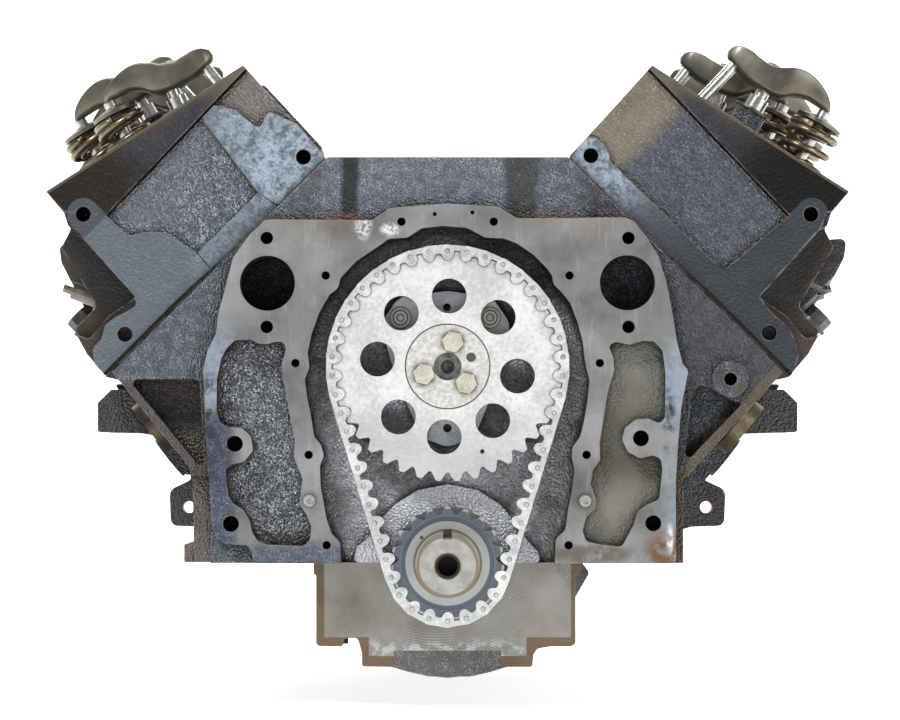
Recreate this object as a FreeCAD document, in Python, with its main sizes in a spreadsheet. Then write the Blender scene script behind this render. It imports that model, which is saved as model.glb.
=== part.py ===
import FreeCAD, Part
import math, os
import Sketcher
from FreeCAD import Vector, Placement, Rotation

# 90 degree V8 long block.  Frame: X across the engine (+X is the left bank),
# Y from the front of the engine to its rear, Z up.  The origin is on the
# crankshaft axis in the plane of the rear (bellhousing) face of the block.

doc = FreeCAD.newDocument("v8_long_block")

# ---------------------------------------------------------------- sizes (mm)
SIZES = [
    ("block_length", 575.0), ("deck_height", 249.0), ("bore_diameter", 107.95),
    ("bore_spacing", 122.94), ("bank_stagger", 24.4), ("bore_bottom", 100.0),
    ("crank_throw", 55.5), ("rod_length", 155.8), ("compression_height", 37.6),
    ("main_journal_diameter", 69.8), ("rod_journal_diameter", 55.9),
    ("main_shell_diameter", 74.6), ("rod_shell_diameter", 60.4),
    ("main_width", 26.0), ("cheek_thickness", 22.8), ("counterweight_radius", 79.0),
    ("snout_diameter", 40.6), ("flange_diameter", 106.0),
    ("cam_height", 130.86), ("cam_journal_diameter", 49.5), ("cam_bearing_diameter", 53.2),
    ("cam_base_diameter", 35.0), ("cam_lift", 7.2), ("cam_core_diameter", 31.0),
    ("chain_pitch", 12.7), ("cam_teeth", 38.0), ("crank_teeth", 19.0),
    ("lifter_diameter", 21.4), ("lifter_bore_diameter", 21.6), ("lifter_length", 49.0),
    ("pushrod_diameter", 8.4), ("pushrod_ball_diameter", 9.4),
    ("intake_valve_diameter", 52.3), ("exhaust_valve_diameter", 43.7), ("stem_diameter", 9.4),
    ("guide_diameter", 15.0), ("spring_outer_diameter", 37.6), ("spring_inner_diameter", 26.6),
    ("retainer_diameter", 33.0), ("seat_depth", 56.0),
    ("head_front", 16.0), ("head_rear", 560.0), ("gasket_thickness", 1.0),
    ("timing_depth", 32.0), ("wall_setback", 10.0),
    ("water_passage_diameter", 36.6), ("main_cap_bolt_diameter", 12.0),
    ("head_bolt_diameter", 11.0), ("rocker_bolt_diameter", 9.6),
    ("fulcrum_diameter", 18.0), ("piston_diameter", 107.4), ("pin_diameter", 25.1),
    ("core_plug_diameter", 41.3), ("spark_plug_hex", 16.0), ("cam_bolt_circle", 33.2),
]
sheet = doc.addObject("Spreadsheet::Sheet", "sizes")
for i, (word, value) in enumerate(SIZES):
    sheet.set("A%d" % (i + 1), word)
    sheet.set("B%d" % (i + 1), "%g" % value)
    sheet.setAlias("B%d" % (i + 1), word)
doc.recompute()


def S(word):
    return float(sheet.get(word))


L = S("block_length")
R2 = math.sqrt(2.0)


def yd(d):
    """Y of a plane d mm behind the timing cover face."""
    return d - L


count = {}


def uniq(name):
    count[name] = count.get(name, 0) + 1
    return name if count[name] == 1 else "%s_%03d" % (name, count[name])


def bind(o, prop, value):
    if isinstance(value, str):
        o.setExpression(prop, value)
    else:
        setattr(o, prop, value)


def cyl(name, base, axis, r, h):
    """Cylinder from base along axis; r and h are numbers or sheet expressions."""
    o = doc.addObject("Part::Cylinder", uniq(name))
    o.Placement = Placement(Vector(*base), Rotation(Vector(0, 0, 1), Vector(*axis)))
    bind(o, "Radius", r)
    bind(o, "Height", h)
    return o


def cone(name, base, axis, r1, r2, h):
    o = doc.addObject("Part::Cone", uniq(name))
    o.Placement = Placement(Vector(*base), Rotation(Vector(0, 0, 1), Vector(*axis)))
    bind(o, "Radius1", r1)
    bind(o, "Radius2", r2)
    bind(o, "Height", h)
    return o


def ball(name, c, r):
    o = doc.addObject("Part::Sphere", uniq(name))
    o.Placement = Placement(Vector(*c), Rotation())
    bind(o, "Radius", r)
    return o


def box(name, x0, x1, y0, y1, z0, z1):
    o = doc.addObject("Part::Box", uniq(name))
    o.Length, o.Width, o.Height = x1 - x0, y1 - y0, z1 - z0
    o.Placement = Placement(Vector(x0, y0, z0), Rotation())
    return o


def hexa(name, base, axis, flat, h, spin=0.0):
    o = doc.addObject("Part::Prism", uniq(name))
    o.Polygon = 6
    o.Circumradius = flat / math.sqrt(3.0)
    bind(o, "Height", h)
    o.Placement = Placement(Vector(*base), Rotation(Vector(0, 0, 1), Vector(*axis))).multiply(
        Placement(Vector(), Rotation(Vector(0, 0, 1), spin)))
    return o


def outline(pts, r=0.0):
    """Sketch geometry of a closed outline, its corners rounded by up to r."""
    n = len(pts)
    P = [Vector(p[0], p[1], 0) for p in pts]
    ends = []
    for i in range(n):
        a, b, c = P[i - 1], P[i], P[(i + 1) % n]
        u, v = a.sub(b), c.sub(b)
        lu, lv = u.Length, v.Length
        u.normalize()
        v.normalize()
        cosang = max(-1.0, min(1.0, u.dot(v)))
        half = math.acos(cosang) / 2.0
        rr = pts[i][2] if len(pts[i]) > 2 else r
        if rr <= 0.01 or half > math.radians(88.5) or half < 0.02:
            ends.append((b, None, b))
            continue
        t = min(rr / math.tan(half), 0.46 * lu, 0.46 * lv)
        rad = t * math.tan(half)
        bis = u.add(v)
        bis.normalize()
        ctr = b.add(Vector(bis).multiply(rad / math.sin(half)))
        mid = ctr.sub(Vector(bis).multiply(rad))
        ends.append((b.add(Vector(u).multiply(t)), mid, b.add(Vector(v).multiply(t))))
    geo = []
    for i in range(n):
        s, m, e = ends[i]
        if m is not None:
            geo.append(Part.Arc(s, m, e))
        nxt = ends[(i + 1) % n][0]
        if e.sub(nxt).Length > 1e-6:
            geo.append(Part.LineSegment(e, nxt))
    return geo


def sketch(name, geo, y0):
    """Sketch in a plane parallel to XZ at y0 (sketch x = X, sketch y = Z)."""
    sk = doc.addObject("Sketcher::SketchObject", uniq(name + "_sketch"))
    sk.addGeometry(geo, False)
    sk.Placement = Placement(Vector(0, y0, 0), Rotation(Vector(1, 0, 0), 90))
    return sk


def prism(name, pts, y0, y1, r=0.0, holes=(), length=None):
    """Outline in XZ extruded from y0 to y1; holes are (x, z, radius)."""
    geo = outline(pts, r)
    for hx, hz, hr in holes:
        geo.append(Part.Circle(Vector(hx, hz, 0), Vector(0, 0, 1), hr))
    sk = sketch(name, geo, y0)
    o = doc.addObject("Part::Extrusion", uniq(name))
    o.Base = sk
    o.DirMode = "Custom"
    o.Dir = Vector(0, 1, 0)
    o.Solid = True
    bind(o, "LengthFwd", length if length else (y1 - y0))
    return o


def fuse(name, objs):
    if len(objs) == 1:
        return objs[0]
    o = doc.addObject("Part::MultiFuse", uniq(name))
    o.Shapes = objs
    return o


def group(name, objs):
    o = doc.addObject("Part::Compound", uniq(name))
    o.Links = objs
    return o


def cut(name, base, tools):
    tool = tools[0] if len(tools) == 1 else fuse(name + "_tool", tools)
    o = doc.addObject("Part::Cut", uniq(name))
    o.Base = base
    o.Tool = tool
    return o


def link(name, obj, place):
    o = doc.addObject("App::Link", uniq(name))
    o.LinkedObject = obj
    o.Placement = place
    return o


NODES = []


def node(obj, label):
    obj.Label = label
    NODES.append(obj)
    return obj


def body_revolve(name, prof, label=None):
    """PartDesign body: profile (radius, z) revolved about Z."""
    b = doc.addObject("PartDesign::Body", uniq(name))
    sk = b.newObject("Sketcher::SketchObject", uniq(name + "_profile"))
    pl = [f for f in b.Origin.OriginFeatures if f.Role == "XZ_Plane"][0]
    sk.AttachmentSupport = [(pl, "")]
    sk.MapMode = "FlatFace"
    sk.addGeometry(outline(prof), False)
    rv = b.newObject("PartDesign::Revolution", uniq(name + "_turn"))
    rv.Profile = sk
    rv.ReferenceAxis = (sk, ["V_Axis"])
    rv.Angle = 360.0
    return b


def body_pad(name, geo, length, holes=()):
    """PartDesign body: outline in XZ padded along -Y from the body origin."""
    b = doc.addObject("PartDesign::Body", uniq(name))
    sk = b.newObject("Sketcher::SketchObject", uniq(name + "_outline"))
    pl = [f for f in b.Origin.OriginFeatures if f.Role == "XZ_Plane"][0]
    sk.AttachmentSupport = [(pl, "")]
    sk.MapMode = "FlatFace"
    sk.addGeometry(geo, False)
    for hx, hz, hr in holes:
        sk.addGeometry(Part.Circle(Vector(hx, hz, 0), Vector(0, 0, 1), hr), False)
    pd = b.newObject("PartDesign::Pad", uniq(name + "_pad"))
    pd.Profile = sk
    bind(pd, "Length", length)
    return b


# ------------------------------------------------------------ shared layout
MAINS = [42.0 + S("bore_spacing") * i for i in range(5)]
PINS = [103.5 + S("bore_spacing") * i for i in range(4)]
PIN_ANG = [90.0, 0.0, 180.0, 270.0]
CYL = {1: [91.3 + S("bore_spacing") * i for i in range(4)],
       -1: [91.3 + S("bank_stagger") + S("bore_spacing") * i for i in range(4)]}
CAMZ = S("cam_height")
DK = S("deck_height")


def uv(side, u, v):
    """Bank coordinates (u outward along the deck, v up from it) to X, Z."""
    return (side * (u + v + DK) / R2, (v + DK - u) / R2)


# head casting frame: X = u, Y = w, Z = v, origin on the deck plane
HEAD_MID = 275.7          # cover-face distance of the left bank's middle
WC = [-184.41 + S("bore_spacing") * i for i in range(4)]
WA, WB = 284.2, -259.8    # casting ends
HP = {1: Placement(Vector(DK / R2, yd(HEAD_MID), DK / R2), Rotation(Vector(0, 1, 0), 45)),
      -1: Placement(Vector(-DK / R2, yd(HEAD_MID + S("bank_stagger")), DK / R2),
                    Rotation(Vector(0, 1, 0), -45).multiply(Rotation(Vector(0, 0, 1), 180)))}
VS = 23.0
# per valve kind: pushrod ball P, rocker centre C, valve tip T, all (x, z) on +X
ROCK = {
    "intake": dict(P=(169.4, 341.9), slope=23.2, tilt=27.0, dy=VS, r="intake_valve_diameter"),
    "exhaust": dict(P=(198.5, 341.0), slope=31.0, tilt=30.0, dy=-VS, r="exhaust_valve_diameter"),
}
for k in ROCK.values():
    a = math.radians(k["slope"])
    k["ex"] = (math.cos(a), -math.sin(a))
    k["ez"] = (math.sin(a), math.cos(a))
    k["C"] = (k["P"][0] + 25.4 * k["ex"][0], k["P"][1] + 25.4 * k["ex"][1])
    k["T"] = (k["C"][0] + 43.2 * k["ex"][0], k["C"][1] + 43.2 * k["ex"][1])
    t = math.radians(k["tilt"])
    k["va"] = (math.sin(t), math.cos(t))
    pa = math.atan2(k["P"][0], k["P"][1] - CAMZ)
    k["pa"] = (math.sin(pa), math.cos(pa))
    k["pr"] = math.hypot(k["P"][0], k["P"][1] - CAMZ)


def to_uv(x, z):
    return ((x - z) / R2, (x + z) / R2 - DK)


def dir_uv(dx, dz):
    return ((dx - dz) / R2, (dx + dz) / R2)


def valve_y(side, kind):
    """Cover-face distances of the valves of one kind on one bank."""
    sgn = 1.0 if side == 1 else -1.0
    return [c + sgn * ROCK[kind]["dy"] for c in CYL[side]]


# ------------------------------------------------------------- engine block
RIM = [(-129.1, -0.0), (-129.7, 5.8), (-132.3, 12.2), (-146.6, 12.7), (-153.5, 17.1), (-156.7, 27.7),
       (-158.5, 56.3), (-160.8, 95.4), (-161.9, 122.6), (-162.5, 128.6), (-159.1, 141.9), (-153.7, 152.4),
       (-152.2, 165.7), (-146.4, 187.5), (-142.2, 203.4), (-131.2, 218.6), (-120.5, 228.4), (-49.9, 228.0),
       (-39.0, 235.7), (-25.5, 237.1), (-1.0, 238.9), (26.2, 237.3), (34.2, 236.6), (46.1, 229.0),
       (118.3, 229.7), (124.1, 226.6), (132.6, 215.6), (139.7, 204.3), (145.2, 187.0), (149.4, 165.2),
       (152.2, 147.1), (156.0, 132.5), (160.0, 128.0), (158.6, 121.8), (155.1, 103.5), (152.9, 79.4),
       (151.4, 53.6), (151.5, 30.3), (151.7, 2.0), (149.7, 0.0)]
POCKET = [(-70.7, -8), (-71.3, 14.4), (-76.8, 19.4), (-80.4, 29.7), (-84.2, 51.0), (-84.8, 64.9), (-82.1, 71.5),
          (-84.0, 78.8), (-88.6, 84.2), (-90.1, 94.1), (-93.2, 110.8), (-94.9, 122.1), (-91.7, 130.0), (-92.9, 140.0),
          (-90.2, 152.5), (-85.2, 166.4), (-78.5, 178.3), (-72.5, 182.9), (-71.1, 189.5), (-60.6, 200.7),
          (-47.9, 209.2), (-39.0, 215.5), (-26.4, 216.3), (-17.3, 222.5), (-3.1, 224.1), (12.8, 222.8),
          (24.7, 216.4), (37.3, 215.7), (45.9, 212.4), (56.5, 205.3), (66.3, 195.6), (69.6, 190.6), (70.0, 185.6),
          (76.1, 179.6), (81.4, 172.9), (86.3, 160.0), (89.8, 146.3), (91.0, 135.7), (92.3, 128.4), (94.2, 121.7),
          (92.8, 107.8), (90.7, 95.2), (87.9, 84.0), (83.0, 77.4), (82.3, 71.4), (84.1, 62.1), (82.8, 49.5),
          (80.1, 36.9), (78.1, 21.9), (71.7, 16.8), (70.9, -8)]
POCK_L = [(-146.8, 142.7), (-141.3, 148.1), (-131.1, 148.6), (-125.2, 145.9), (-119.9, 145.5), (-114.2, 147.1),
          (-108.9, 147.1), (-107.3, 142.3), (-110.3, 131.5), (-109.7, 124.8), (-106.5, 108.5), (-103.2, 90.9),
          (-101.3, 81.4), (-102.0, 70.5), (-98.7, 62.4), (-96.1, 55.7), (-97.5, 47.4), (-98.3, 39.3), (-93.7, 32.5),
          (-90.4, 24.5), (-91.2, 16.3), (-95.2, 11.6), (-119.5, 12.5), (-126.3, 15.2), (-129.6, 20.6), (-131.5, 28.8),
          (-135.5, 35.6), (-142.2, 39.7), (-145.6, 45.1), (-147.5, 62.8), (-143.4, 65.7), (-135.2, 67.4),
          (-129.1, 74.8), (-130.4, 84.3), (-136.4, 89.9), (-145.9, 90.7), (-151.3, 94.0), (-153.3, 100.7),
          (-153.1, 122.6), (-150.2, 135.9)]
POCK_R = [(106.7, 144.5), (111.5, 147.2), (120.3, 145.1), (129.6, 147.7), (136.5, 147.6), (142.6, 141.5),
          (144.5, 126.6), (144.2, 96.7), (140.8, 92.8), (133.3, 96.2), (125.2, 95.6), (117.8, 90.3), (115.6, 82.1),
          (119.7, 74.0), (127.6, 69.7), (135.9, 71.8), (141.3, 69.8), (142.5, 62.9), (140.4, 42.6), (131.5, 38.7),
          (126.0, 34.7), (123.2, 25.3), (115.7, 11.1), (101.5, 12.5), (92.0, 14.7), (89.4, 21.6), (92.1, 30.8),
          (97.7, 36.2), (98.4, 43.0), (94.9, 52.7), (96.4, 62.0), (101.3, 68.7), (100.8, 79.6), (102.9, 93.1),
          (106.4, 114.7), (110.7, 128.2), (110.0, 136.4)]
S0 = S("wall_setback")


def mirror(pts):
    return [(-p[0],) + tuple(p[1:]) for p in pts]


def both(pts):
    """Right half outline from bottom centre to top centre, closed by its mirror."""
    return pts + [(-p[0],) + tuple(p[1:]) for p in reversed(pts)]


# main casting: crankcase, two banks, solid valley filled up to the top rail
main_prof = [(157, 0), (157, 55), (223.5, 127.215), (80.2, 270.515),
             (-80.2, 270.515), (-223.5, 127.215), (-171.5, 63), (-170, 0)]
blk = [prism("block_body", main_prof, yd(S0), 0.0, 0.0, length="sizes.block_length - sizes.wall_setback")]
blk.append(prism("cover_rim", RIM, yd(0), yd(S0 + 4), 5.0))
# bellhousing flange
FL = both([(150, 0), (196, 14), (223, 15, 6), (224, 44, 8), (207, 52), (206, 108), (212, 128, 12), (201, 142, 10),
           (150, 190), (104, 214, 10), (88, 222, 10), (74, 214), (60, 200)])
blk.append(prism("bell_flange", FL, yd(L - 18), 0.0, 4.0))
# side mount pads and side bosses
for sx in (1, -1):
    pad = [(245.6, 88), (245.6, 108.6), (236, 118), (214, 118), (185, 82), (203, 87)] if sx < 0 else \
          [(245.6, 88), (245.6, 108.6), (236, 118), (206, 118), (176, 82), (203, 87)]
    for d0 in (150.0, 214.0):
        blk.append(prism("mount_pad", [(sx * p[0], p[1]) for p in pad], yd(d0), yd(d0 + 34), 2.0))
    web = [(232, 90), (232, 114), (214, 116), (185, 82)] if sx < 0 else [(232, 90), (232, 114), (206, 116), (176, 82)]
    blk.append(prism("mount_web", [(sx * p[0], p[1]) for p in web], yd(150), yd(248), 2.0))
    blk.append(cyl("side_boss", (sx * 178, yd(300), 92), (sx * 0.78, 0, -0.62), 17.0, 36.0))
    # pan rail flange
    if sx < 0:
        blk.append(box("pan_rail", -177, -150, yd(32), -0.01, 0.0, 12.0))
    # stiffening ribs down the bank side between the core plugs
    for d in (164.9, 287.9, 410.8):
        rib = [(212, 122), (235, 122), (184, 58), (164, 58)] if sx < 0 else \
              [(206, 122), (235, 122), (186, 60), (175, 46), (153, 46), (153, 60)]
        blk.append(prism("side_rib", [(sx * p[0], p[1]) for p in rib], yd(d - 5), yd(d + 5), 1.5))
blk.append(cyl("accessory_boss", (188.2, yd(5), 122.4), (0, 1, 0), 11.9, 50.0))
block_solid = fuse("block_castings", blk)

neg = []
neg.append(prism("timing_pocket", POCKET, yd(-1), yd(S("timing_depth")), 6.0))
neg.append(prism("pocket_right_bank", POCK_L, yd(-1), yd(22), 3.5))
neg.append(prism("pocket_left_bank", POCK_R, yd(-1), yd(14), 3.5))
# recessed triangles under the deck corners
neg.append(prism("tri_right", [(-213, 122.5), (-165.5, 122.5), (-161.5, 59.5)], yd(-1), yd(40), 3.0))
neg.append(prism("tri_left", [(197, 106.8), (190, 108), (176, 116), (168, 119), (163, 113), (157, 65)], yd(-1), yd(30), 3.0))
# lower corner relief beside the pan rail
neg.append(box("corner_right", -171.6, -158.0, yd(0), yd(30), -1, 58))
# drain-back window at the top of the timing cavity
neg.append(prism("window", [(-19, 200), (13, 200), (13, 214, 6), (2, 219.5, 8), (-9, 219.5, 8), (-19, 214, 6)],
                 yd(30), yd(60)))
# valley between the banks
neg.append(prism("valley", both([(40, 178), (72, 196.5), (113.8, 238.3), (125, 250), (60, 300)])[0:0] or
                 [(-40, 178, 8), (40, 178, 8), (72, 196.5, 6), (113.8, 238.3), (100, 290), (-100, 290),
                  (-113.8, 238.3), (-72, 196.5, 6)], yd(46), yd(538)))
# crankcase bays
bay = [(140, -10), (140, 47.6), (113, 26.4), (27.6, 113.8), (-27.6, 113.8), (-113, 26.4),
       (-143, 50, 6), (-152, 50, 6), (-152, -10)]
for i in range(4):
    neg.append(prism("crank_bay", bay, yd(MAINS[i] + 13.6), yd(MAINS[i + 1] - 13.6)))
# cylinders
for side in (1, -1):
    for c in CYL[side]:
        b = uv(side, 0, S("bore_bottom") - DK - 16)
        neg.append(cyl("bore", (b[0], yd(c), b[1]), (side, 0, 1), "sizes.bore_diameter / 2",
                       "sizes.deck_height - sizes.bore_bottom + 18"))
# main bearing tunnel, rear seal counterbore, cam tunnel
neg.append(cyl("main_tunnel", (0, yd(10), 0), (0, 1, 0), "sizes.main_shell_diameter / 2 + 0.05", 545.0))
neg.append(cyl("seal_bore", (0, yd(548), 0), (0, 1, 0), 64.0, 40.0))
neg.append(cyl("cam_tunnel", (0, yd(20), CAMZ), (0, 1, 0), "sizes.cam_bearing_diameter / 2 + 0.05", 540.0))
for i in range(4):
    neg.append(cyl("cam_bay", (0, yd(MAINS[i] + 13.6), CAMZ), (0, 1, 0), 30.5, S("bore_spacing") - 27.2))
# front water passages and tapped holes of the cover face
# the left bank's first cylinder is further forward, so its passage is shorter
for x, z, deep in ((-119.6, 186.0, 56.0), (119.3, 186.3, 36.0)):
    neg.append(cyl("water_passage", (x, yd(-1), z), (0, 1, 0), "sizes.water_passage_diameter / 2", deep))
for x, z in ((-120.0, 216.0), (-120.0, 157.0), (120.0, 216.0), (120.0, 157.0)):
    neg.append(cyl("pump_hole", (x, yd(-1), z), (0, 1, 0), 4.2, 28.0))
COVER = [(sx * x, z) for x, z in ((30.6, 226.9), (80.9, 191.1), (101.0, 133.0), (92.2, 72.1), (80.3, 12.1)) for sx in (-1, 1)]
for x, z in COVER:
    neg.append(cyl("cover_hole", (x, yd(-1), z), (0, 1, 0), 2.8, 18.0))
for x, z in ((-8.5, 231.9), (16.5, 232.9)):
    neg.append(cyl("pin_hole", (x, yd(-1), z), (0, 1, 0), 1.4, 8.0))
for x, z in ((-141.2, 79.4), (-143.8, 26.3), (128.3, 83.1), (136.5, 26.7)):
    neg.append(cyl("boss_hole", (x, yd(-1), z), (0, 1, 0), 5.3, 30.0))
neg.append(cyl("accessory_hole", (188.2, yd(4), 122.4), (0, 1, 0), 4.3, 40.0))
DOWELS = [(-91.6, 41.7), (91.2, 41.5)]
for x, z in DOWELS:
    neg.append(cyl("cover_dowel_hole", (x, yd(-1), z), (0, 1, 0), 3.95, 13.0))
# side details: core plug holes, mount holes, pan rail holes, bell holes
wall_n = (0.775, -0.632)
CORE_D = [103.5, 226.4, 349.4, 472.3]
for sx in (1, -1):
    for d in CORE_D:
        neg.append(cyl("core_hole", (sx * (197.5 - 12 * wall_n[0]), yd(d), 94.6 - 12 * wall_n[1]),
                       (sx * wall_n[0], 0, wall_n[1]), "sizes.core_plug_diameter / 2 + 0.1", 40.0))
    for d in (167.0, 231.0):
        neg.append(cyl("mount_hole", (sx * 250, yd(d), 98.5 if sx > 0 else 97.9), (-sx, 0, 0), 4.6, 30.0))
    neg.append(cyl("side_boss_hole", (sx * 213, yd(300), 64.5), (-sx * 0.78, 0, 0.62), 6.0, 28.0))
    for k in range(7):
        neg.append(cyl("pan_hole", (148.5 if sx > 0 else -165, yd(60 + 78 * k), -1), (0, 0, 1), 3.4, 18.0))
    for x, z, r in ((88.9, 205, 4.8), (195.3, 127.5, 4.8), (208.3, 30, 4.8), (182.6, 78, 7.05)):
        neg.append(cyl("bell_hole", (sx * x, yd(L - 30), z), (0, 1, 0), r, 40.0))
    # the dowel's collar stands clear in a shallow mouth
    neg.append(cyl("bell_dowel_mouth", (sx * 182.6, -1.0, 78), (0, 1, 0), 8.6, 11.0))
# crankcase end openings to the pan: front shelf and rear relief
neg.append(box("front_shelf", -129.0, 129.0, yd(14), yd(24), -1, 0.0))
block_a = cut("block_hollow", block_solid, neg)

# features that stand inside the cavities
add = [block_a]
ring = [(-63, 0), (-61.0, 10.3), (-53.3, 16.9), (-43.3, 30.7), (-35, 39), (-20, 48.5), (0, 52.4), (20, 48.5),
        (35, 39), (41.7, 31.3), (52.6, 15.9), (60.7, 6.8), (62, 0)]
add.append(prism("crank_boss", ring, yd(24), yd(34), 3.0))
add.append(prism("bridge_left", [(75, 0), (91, 0), (91, 9), (75, 9)], yd(10), yd(32)))
LIFT = []
for side in (1, -1):
    for kind in ("intake", "exhaust"):
        pa = ROCK[kind]["pa"]
        for d in valve_y(side, kind):
            LIFT.append((side, kind, d))
            add.append(cyl("lifter_boss", (side * pa[0] * 46, yd(d), CAMZ + pa[1] * 46), (side * pa[0], 0, pa[1]),
                           15.0, 44.0))
block_b = fuse("block_bossed", add)
neg2 = [cyl("main_tunnel_2", (0, yd(10), 0), (0, 1, 0), "sizes.main_shell_diameter / 2 + 0.05", 545.0),
        cyl("cam_bay_2", (0, yd(34), CAMZ), (0, 1, 0), "sizes.cam_bearing_diameter / 2 + 0.05", 500.0),
        box("under_cut", -90, 90, yd(10), yd(40), -20, 0.0)]
for i in range(4):
    neg2.append(cyl("cam_bay_3", (0, yd(MAINS[i] + 13.6), CAMZ), (0, 1, 0), 30.5, S("bore_spacing") - 27.2))
for side, kind, d in LIFT:
    pa = ROCK[kind]["pa"]
    neg2.append(cyl("lifter_bore", (side * pa[0] * 18, yd(d), CAMZ + pa[1] * 18), (side * pa[0], 0, pa[1]),
                    "sizes.lifter_bore_diameter / 2", 78.0))
# tapped holes: head bolts, main cap bolts, thrust plate, gallery plugs
HB = [(-70.0, w) for w in (WC[0] - 50, WC[0] + 61.47, WC[1] + 61.47, WC[2] + 61.47, WC[3] + 50)] + \
     [(60.0, w) for w in (WC[0] - 50, WC[0] + 61.47, WC[1] + 61.47, WC[2] + 61.47, WC[3] + 50)]
for side in (1, -1):
    for u, w in HB:
        p = HP[side].multVec(Vector(u, w, 2))
        neg2.append(cyl("head_bolt_hole", tuple(p), (-side, 0, -1), "sizes.head_bolt_diameter / 2 + 0.1", 46.0))
for d in MAINS:
    for x in (-76, -48, 48, 76):
        neg2.append(cyl("cap_bolt_hole", (x, yd(d), -1), (0, 0, 1), "sizes.main_cap_bolt_diameter / 2 + 0.1", 46.0))
THR = [(-31.6, 163.9), (28.4, 164.0)]
for x, z in THR:
    neg2.append(cyl("thrust_hole", (x, yd(30), z), (0, 1, 0), 4.1, 16.0))
GAL = [(-52, yd(30), 88, 1), (52, yd(30), 88, 1), (-60, 1, 150, -1), (60, 1, 150, -1)]
for x, y, z, s in GAL:
    neg2.append(cyl("gallery_hole", (x, y, z), (0, s, 0), 8.1, 16.0))
neg2.append(cyl("cam_rear_hole", (0, -12, CAMZ), (0, 1, 0), 27.6, 14.0))
neg2.append(cyl("distributor_hole", (0, yd(512), CAMZ + 20), (0, 0, 1), 16.0, 60.0))
node(cut("block_final", block_b, neg2), "engine_block")

# ----------------------------------------------------------------- main caps
front_cap_prof = [(-89.7, 0), (-89.7, -7.8, 1), (-88.1, -8.5, 1), (-88.1, -56.0, 3), (-69.9, -56.4, 2), (-69.8, -50.6, 3),
                  (-60.3, -50.6, 3), (-57.4, -60.7, 3), (-57.4, -69.6, 2), (-37.6, -69.9, 2), (-27.6, -72.9, 6),
                  (-12.3, -76.4, 20), (15.5, -76.4, 20), (28.4, -73.4, 6), (39.8, -69.9, 2), (56.8, -69.9, 2),
                  (57.6, -61.5, 3), (60.1, -57.8, 3), (67.8, -56.4, 3), (83.1, -56.2, 2), (85.8, -54.0, 2), (85.8, -8.5, 1),
                  (89.1, -7.4, 1), (89.1, 0)]
fc = prism("front_cap_blank", front_cap_prof, yd(24), yd(55.4))
fc_neg = [cyl("cap_bore", (0, yd(10), 0), (0, 1, 0), "sizes.main_shell_diameter / 2 + 0.05", 60.0),
          box("cap_relief_low", -62, 62, yd(31), yd(60), -90, -60),
          box("cap_relief_r", 61, 95, yd(31), yd(60), -90, -46),
          box("cap_relief_l", -95, -61, yd(31), yd(60), -90, -46)]
for x in (-76, -48, 48, 76):
    fc_neg.append(cyl("cap_hole", (x, yd(42), -95), (0, 0, 1), "sizes.main_cap_bolt_diameter / 2 + 0.1", 100.0))
node(cut("front_cap", fc, fc_neg), "front_main_cap")
inner_prof = [(-89, 0), (-89, -34, 3), (-78, -46, 2), (-62, -46, 3), (-58, -60, 3), (-30, -60, 3), (-16, -67, 8), (16, -67, 8),
              (30, -60, 3), (58, -60, 3), (62, -46, 3), (78, -46, 2), (89, -34, 3), (89, 0)]
caps = []
for i in (1, 2, 3):
    caps.append(prism("inner_cap_blank", inner_prof, yd(MAINS[i] - 13.4), yd(MAINS[i] + 13.4)))
cap_neg = [cyl("cap_bore", (0, yd(100), 0), (0, 1, 0), "sizes.main_shell_diameter / 2 + 0.05", 380.0)]
for i in (1, 2, 3):
    for x in (-76, -48, 48, 76):
        cap_neg.append(cyl("cap_hole", (x, yd(MAINS[i]), -95), (0, 0, 1), "sizes.main_cap_bolt_diameter / 2 + 0.1", 100.0))
node(cut("inner_caps", group("inner_cap_blanks", caps), cap_neg), "inner_main_caps")
rc = prism("rear_cap_blank", inner_prof, yd(MAINS[4] - 13.4), yd(547.5))
rc_neg = [cyl("cap_bore", (0, yd(500), 0), (0, 1, 0), "sizes.main_shell_diameter / 2 + 0.05", 60.0)]
for x in (-76, -48, 48, 76):
    rc_neg.append(cyl("cap_hole", (x, yd(MAINS[4]), -95), (0, 0, 1), "sizes.main_cap_bolt_diameter / 2 + 0.1", 100.0))
node(cut("rear_cap", rc, rc_neg), "rear_main_cap")

bolts = []
for i, d in enumerate(MAINS):
    for x in (-76, -48, 48, 76):
        seat = -60.0 if abs(x) < 60 else -46.0
        sh = cyl("cap_bolt_shank", (x, yd(d), seat), (0, 0, 1), "sizes.main_cap_bolt_diameter / 2", -seat + 40.0)
        hd = hexa("cap_bolt_head", (x, yd(d), seat - 9.0), (0, 0, 1), 18.0, 9.0, 30)
        bolts.append(fuse("cap_bolt", [sh, hd]))
node(group("cap_bolts", bolts), "main_cap_bolts")


def half_ring(name, cx, cz, ri, ro, y0, w, ang):
    """Half ring about an axis parallel to Y; ang turns the upper half."""
    a = cyl(name + "_outer", (cx, y0, cz), (0, 1, 0), ro, w)
    b = cyl(name + "_inner", (cx, y0 - 1, cz), (0, 1, 0), ri, w + 2)
    r = cut(name + "_ring", a, [b])
    k = doc.addObject("Part::Box", uniq(name + "_half"))
    k.Length, k.Width, k.Height = 200, w + 4, 100
    k.Placement = Placement(Vector(cx, 0, cz), Rotation(Vector(0, 1, 0), ang)).multiply(
        Placement(Vector(-100, y0 - 2, 0.02), Rotation()))
    o = doc.addObject("Part::Common", uniq(name))
    o.Base, o.Tool = r, k
    return o


shells = []
for d in MAINS:
    for ang in (0, 180):
        shells.append(half_ring("main_shell", 0, 0, "sizes.main_journal_diameter / 2 + 0.06",
                                "sizes.main_shell_diameter / 2", yd(d - 12), 24.0, ang))
node(group("main_shells", shells), "main_bearing_shells")

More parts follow.
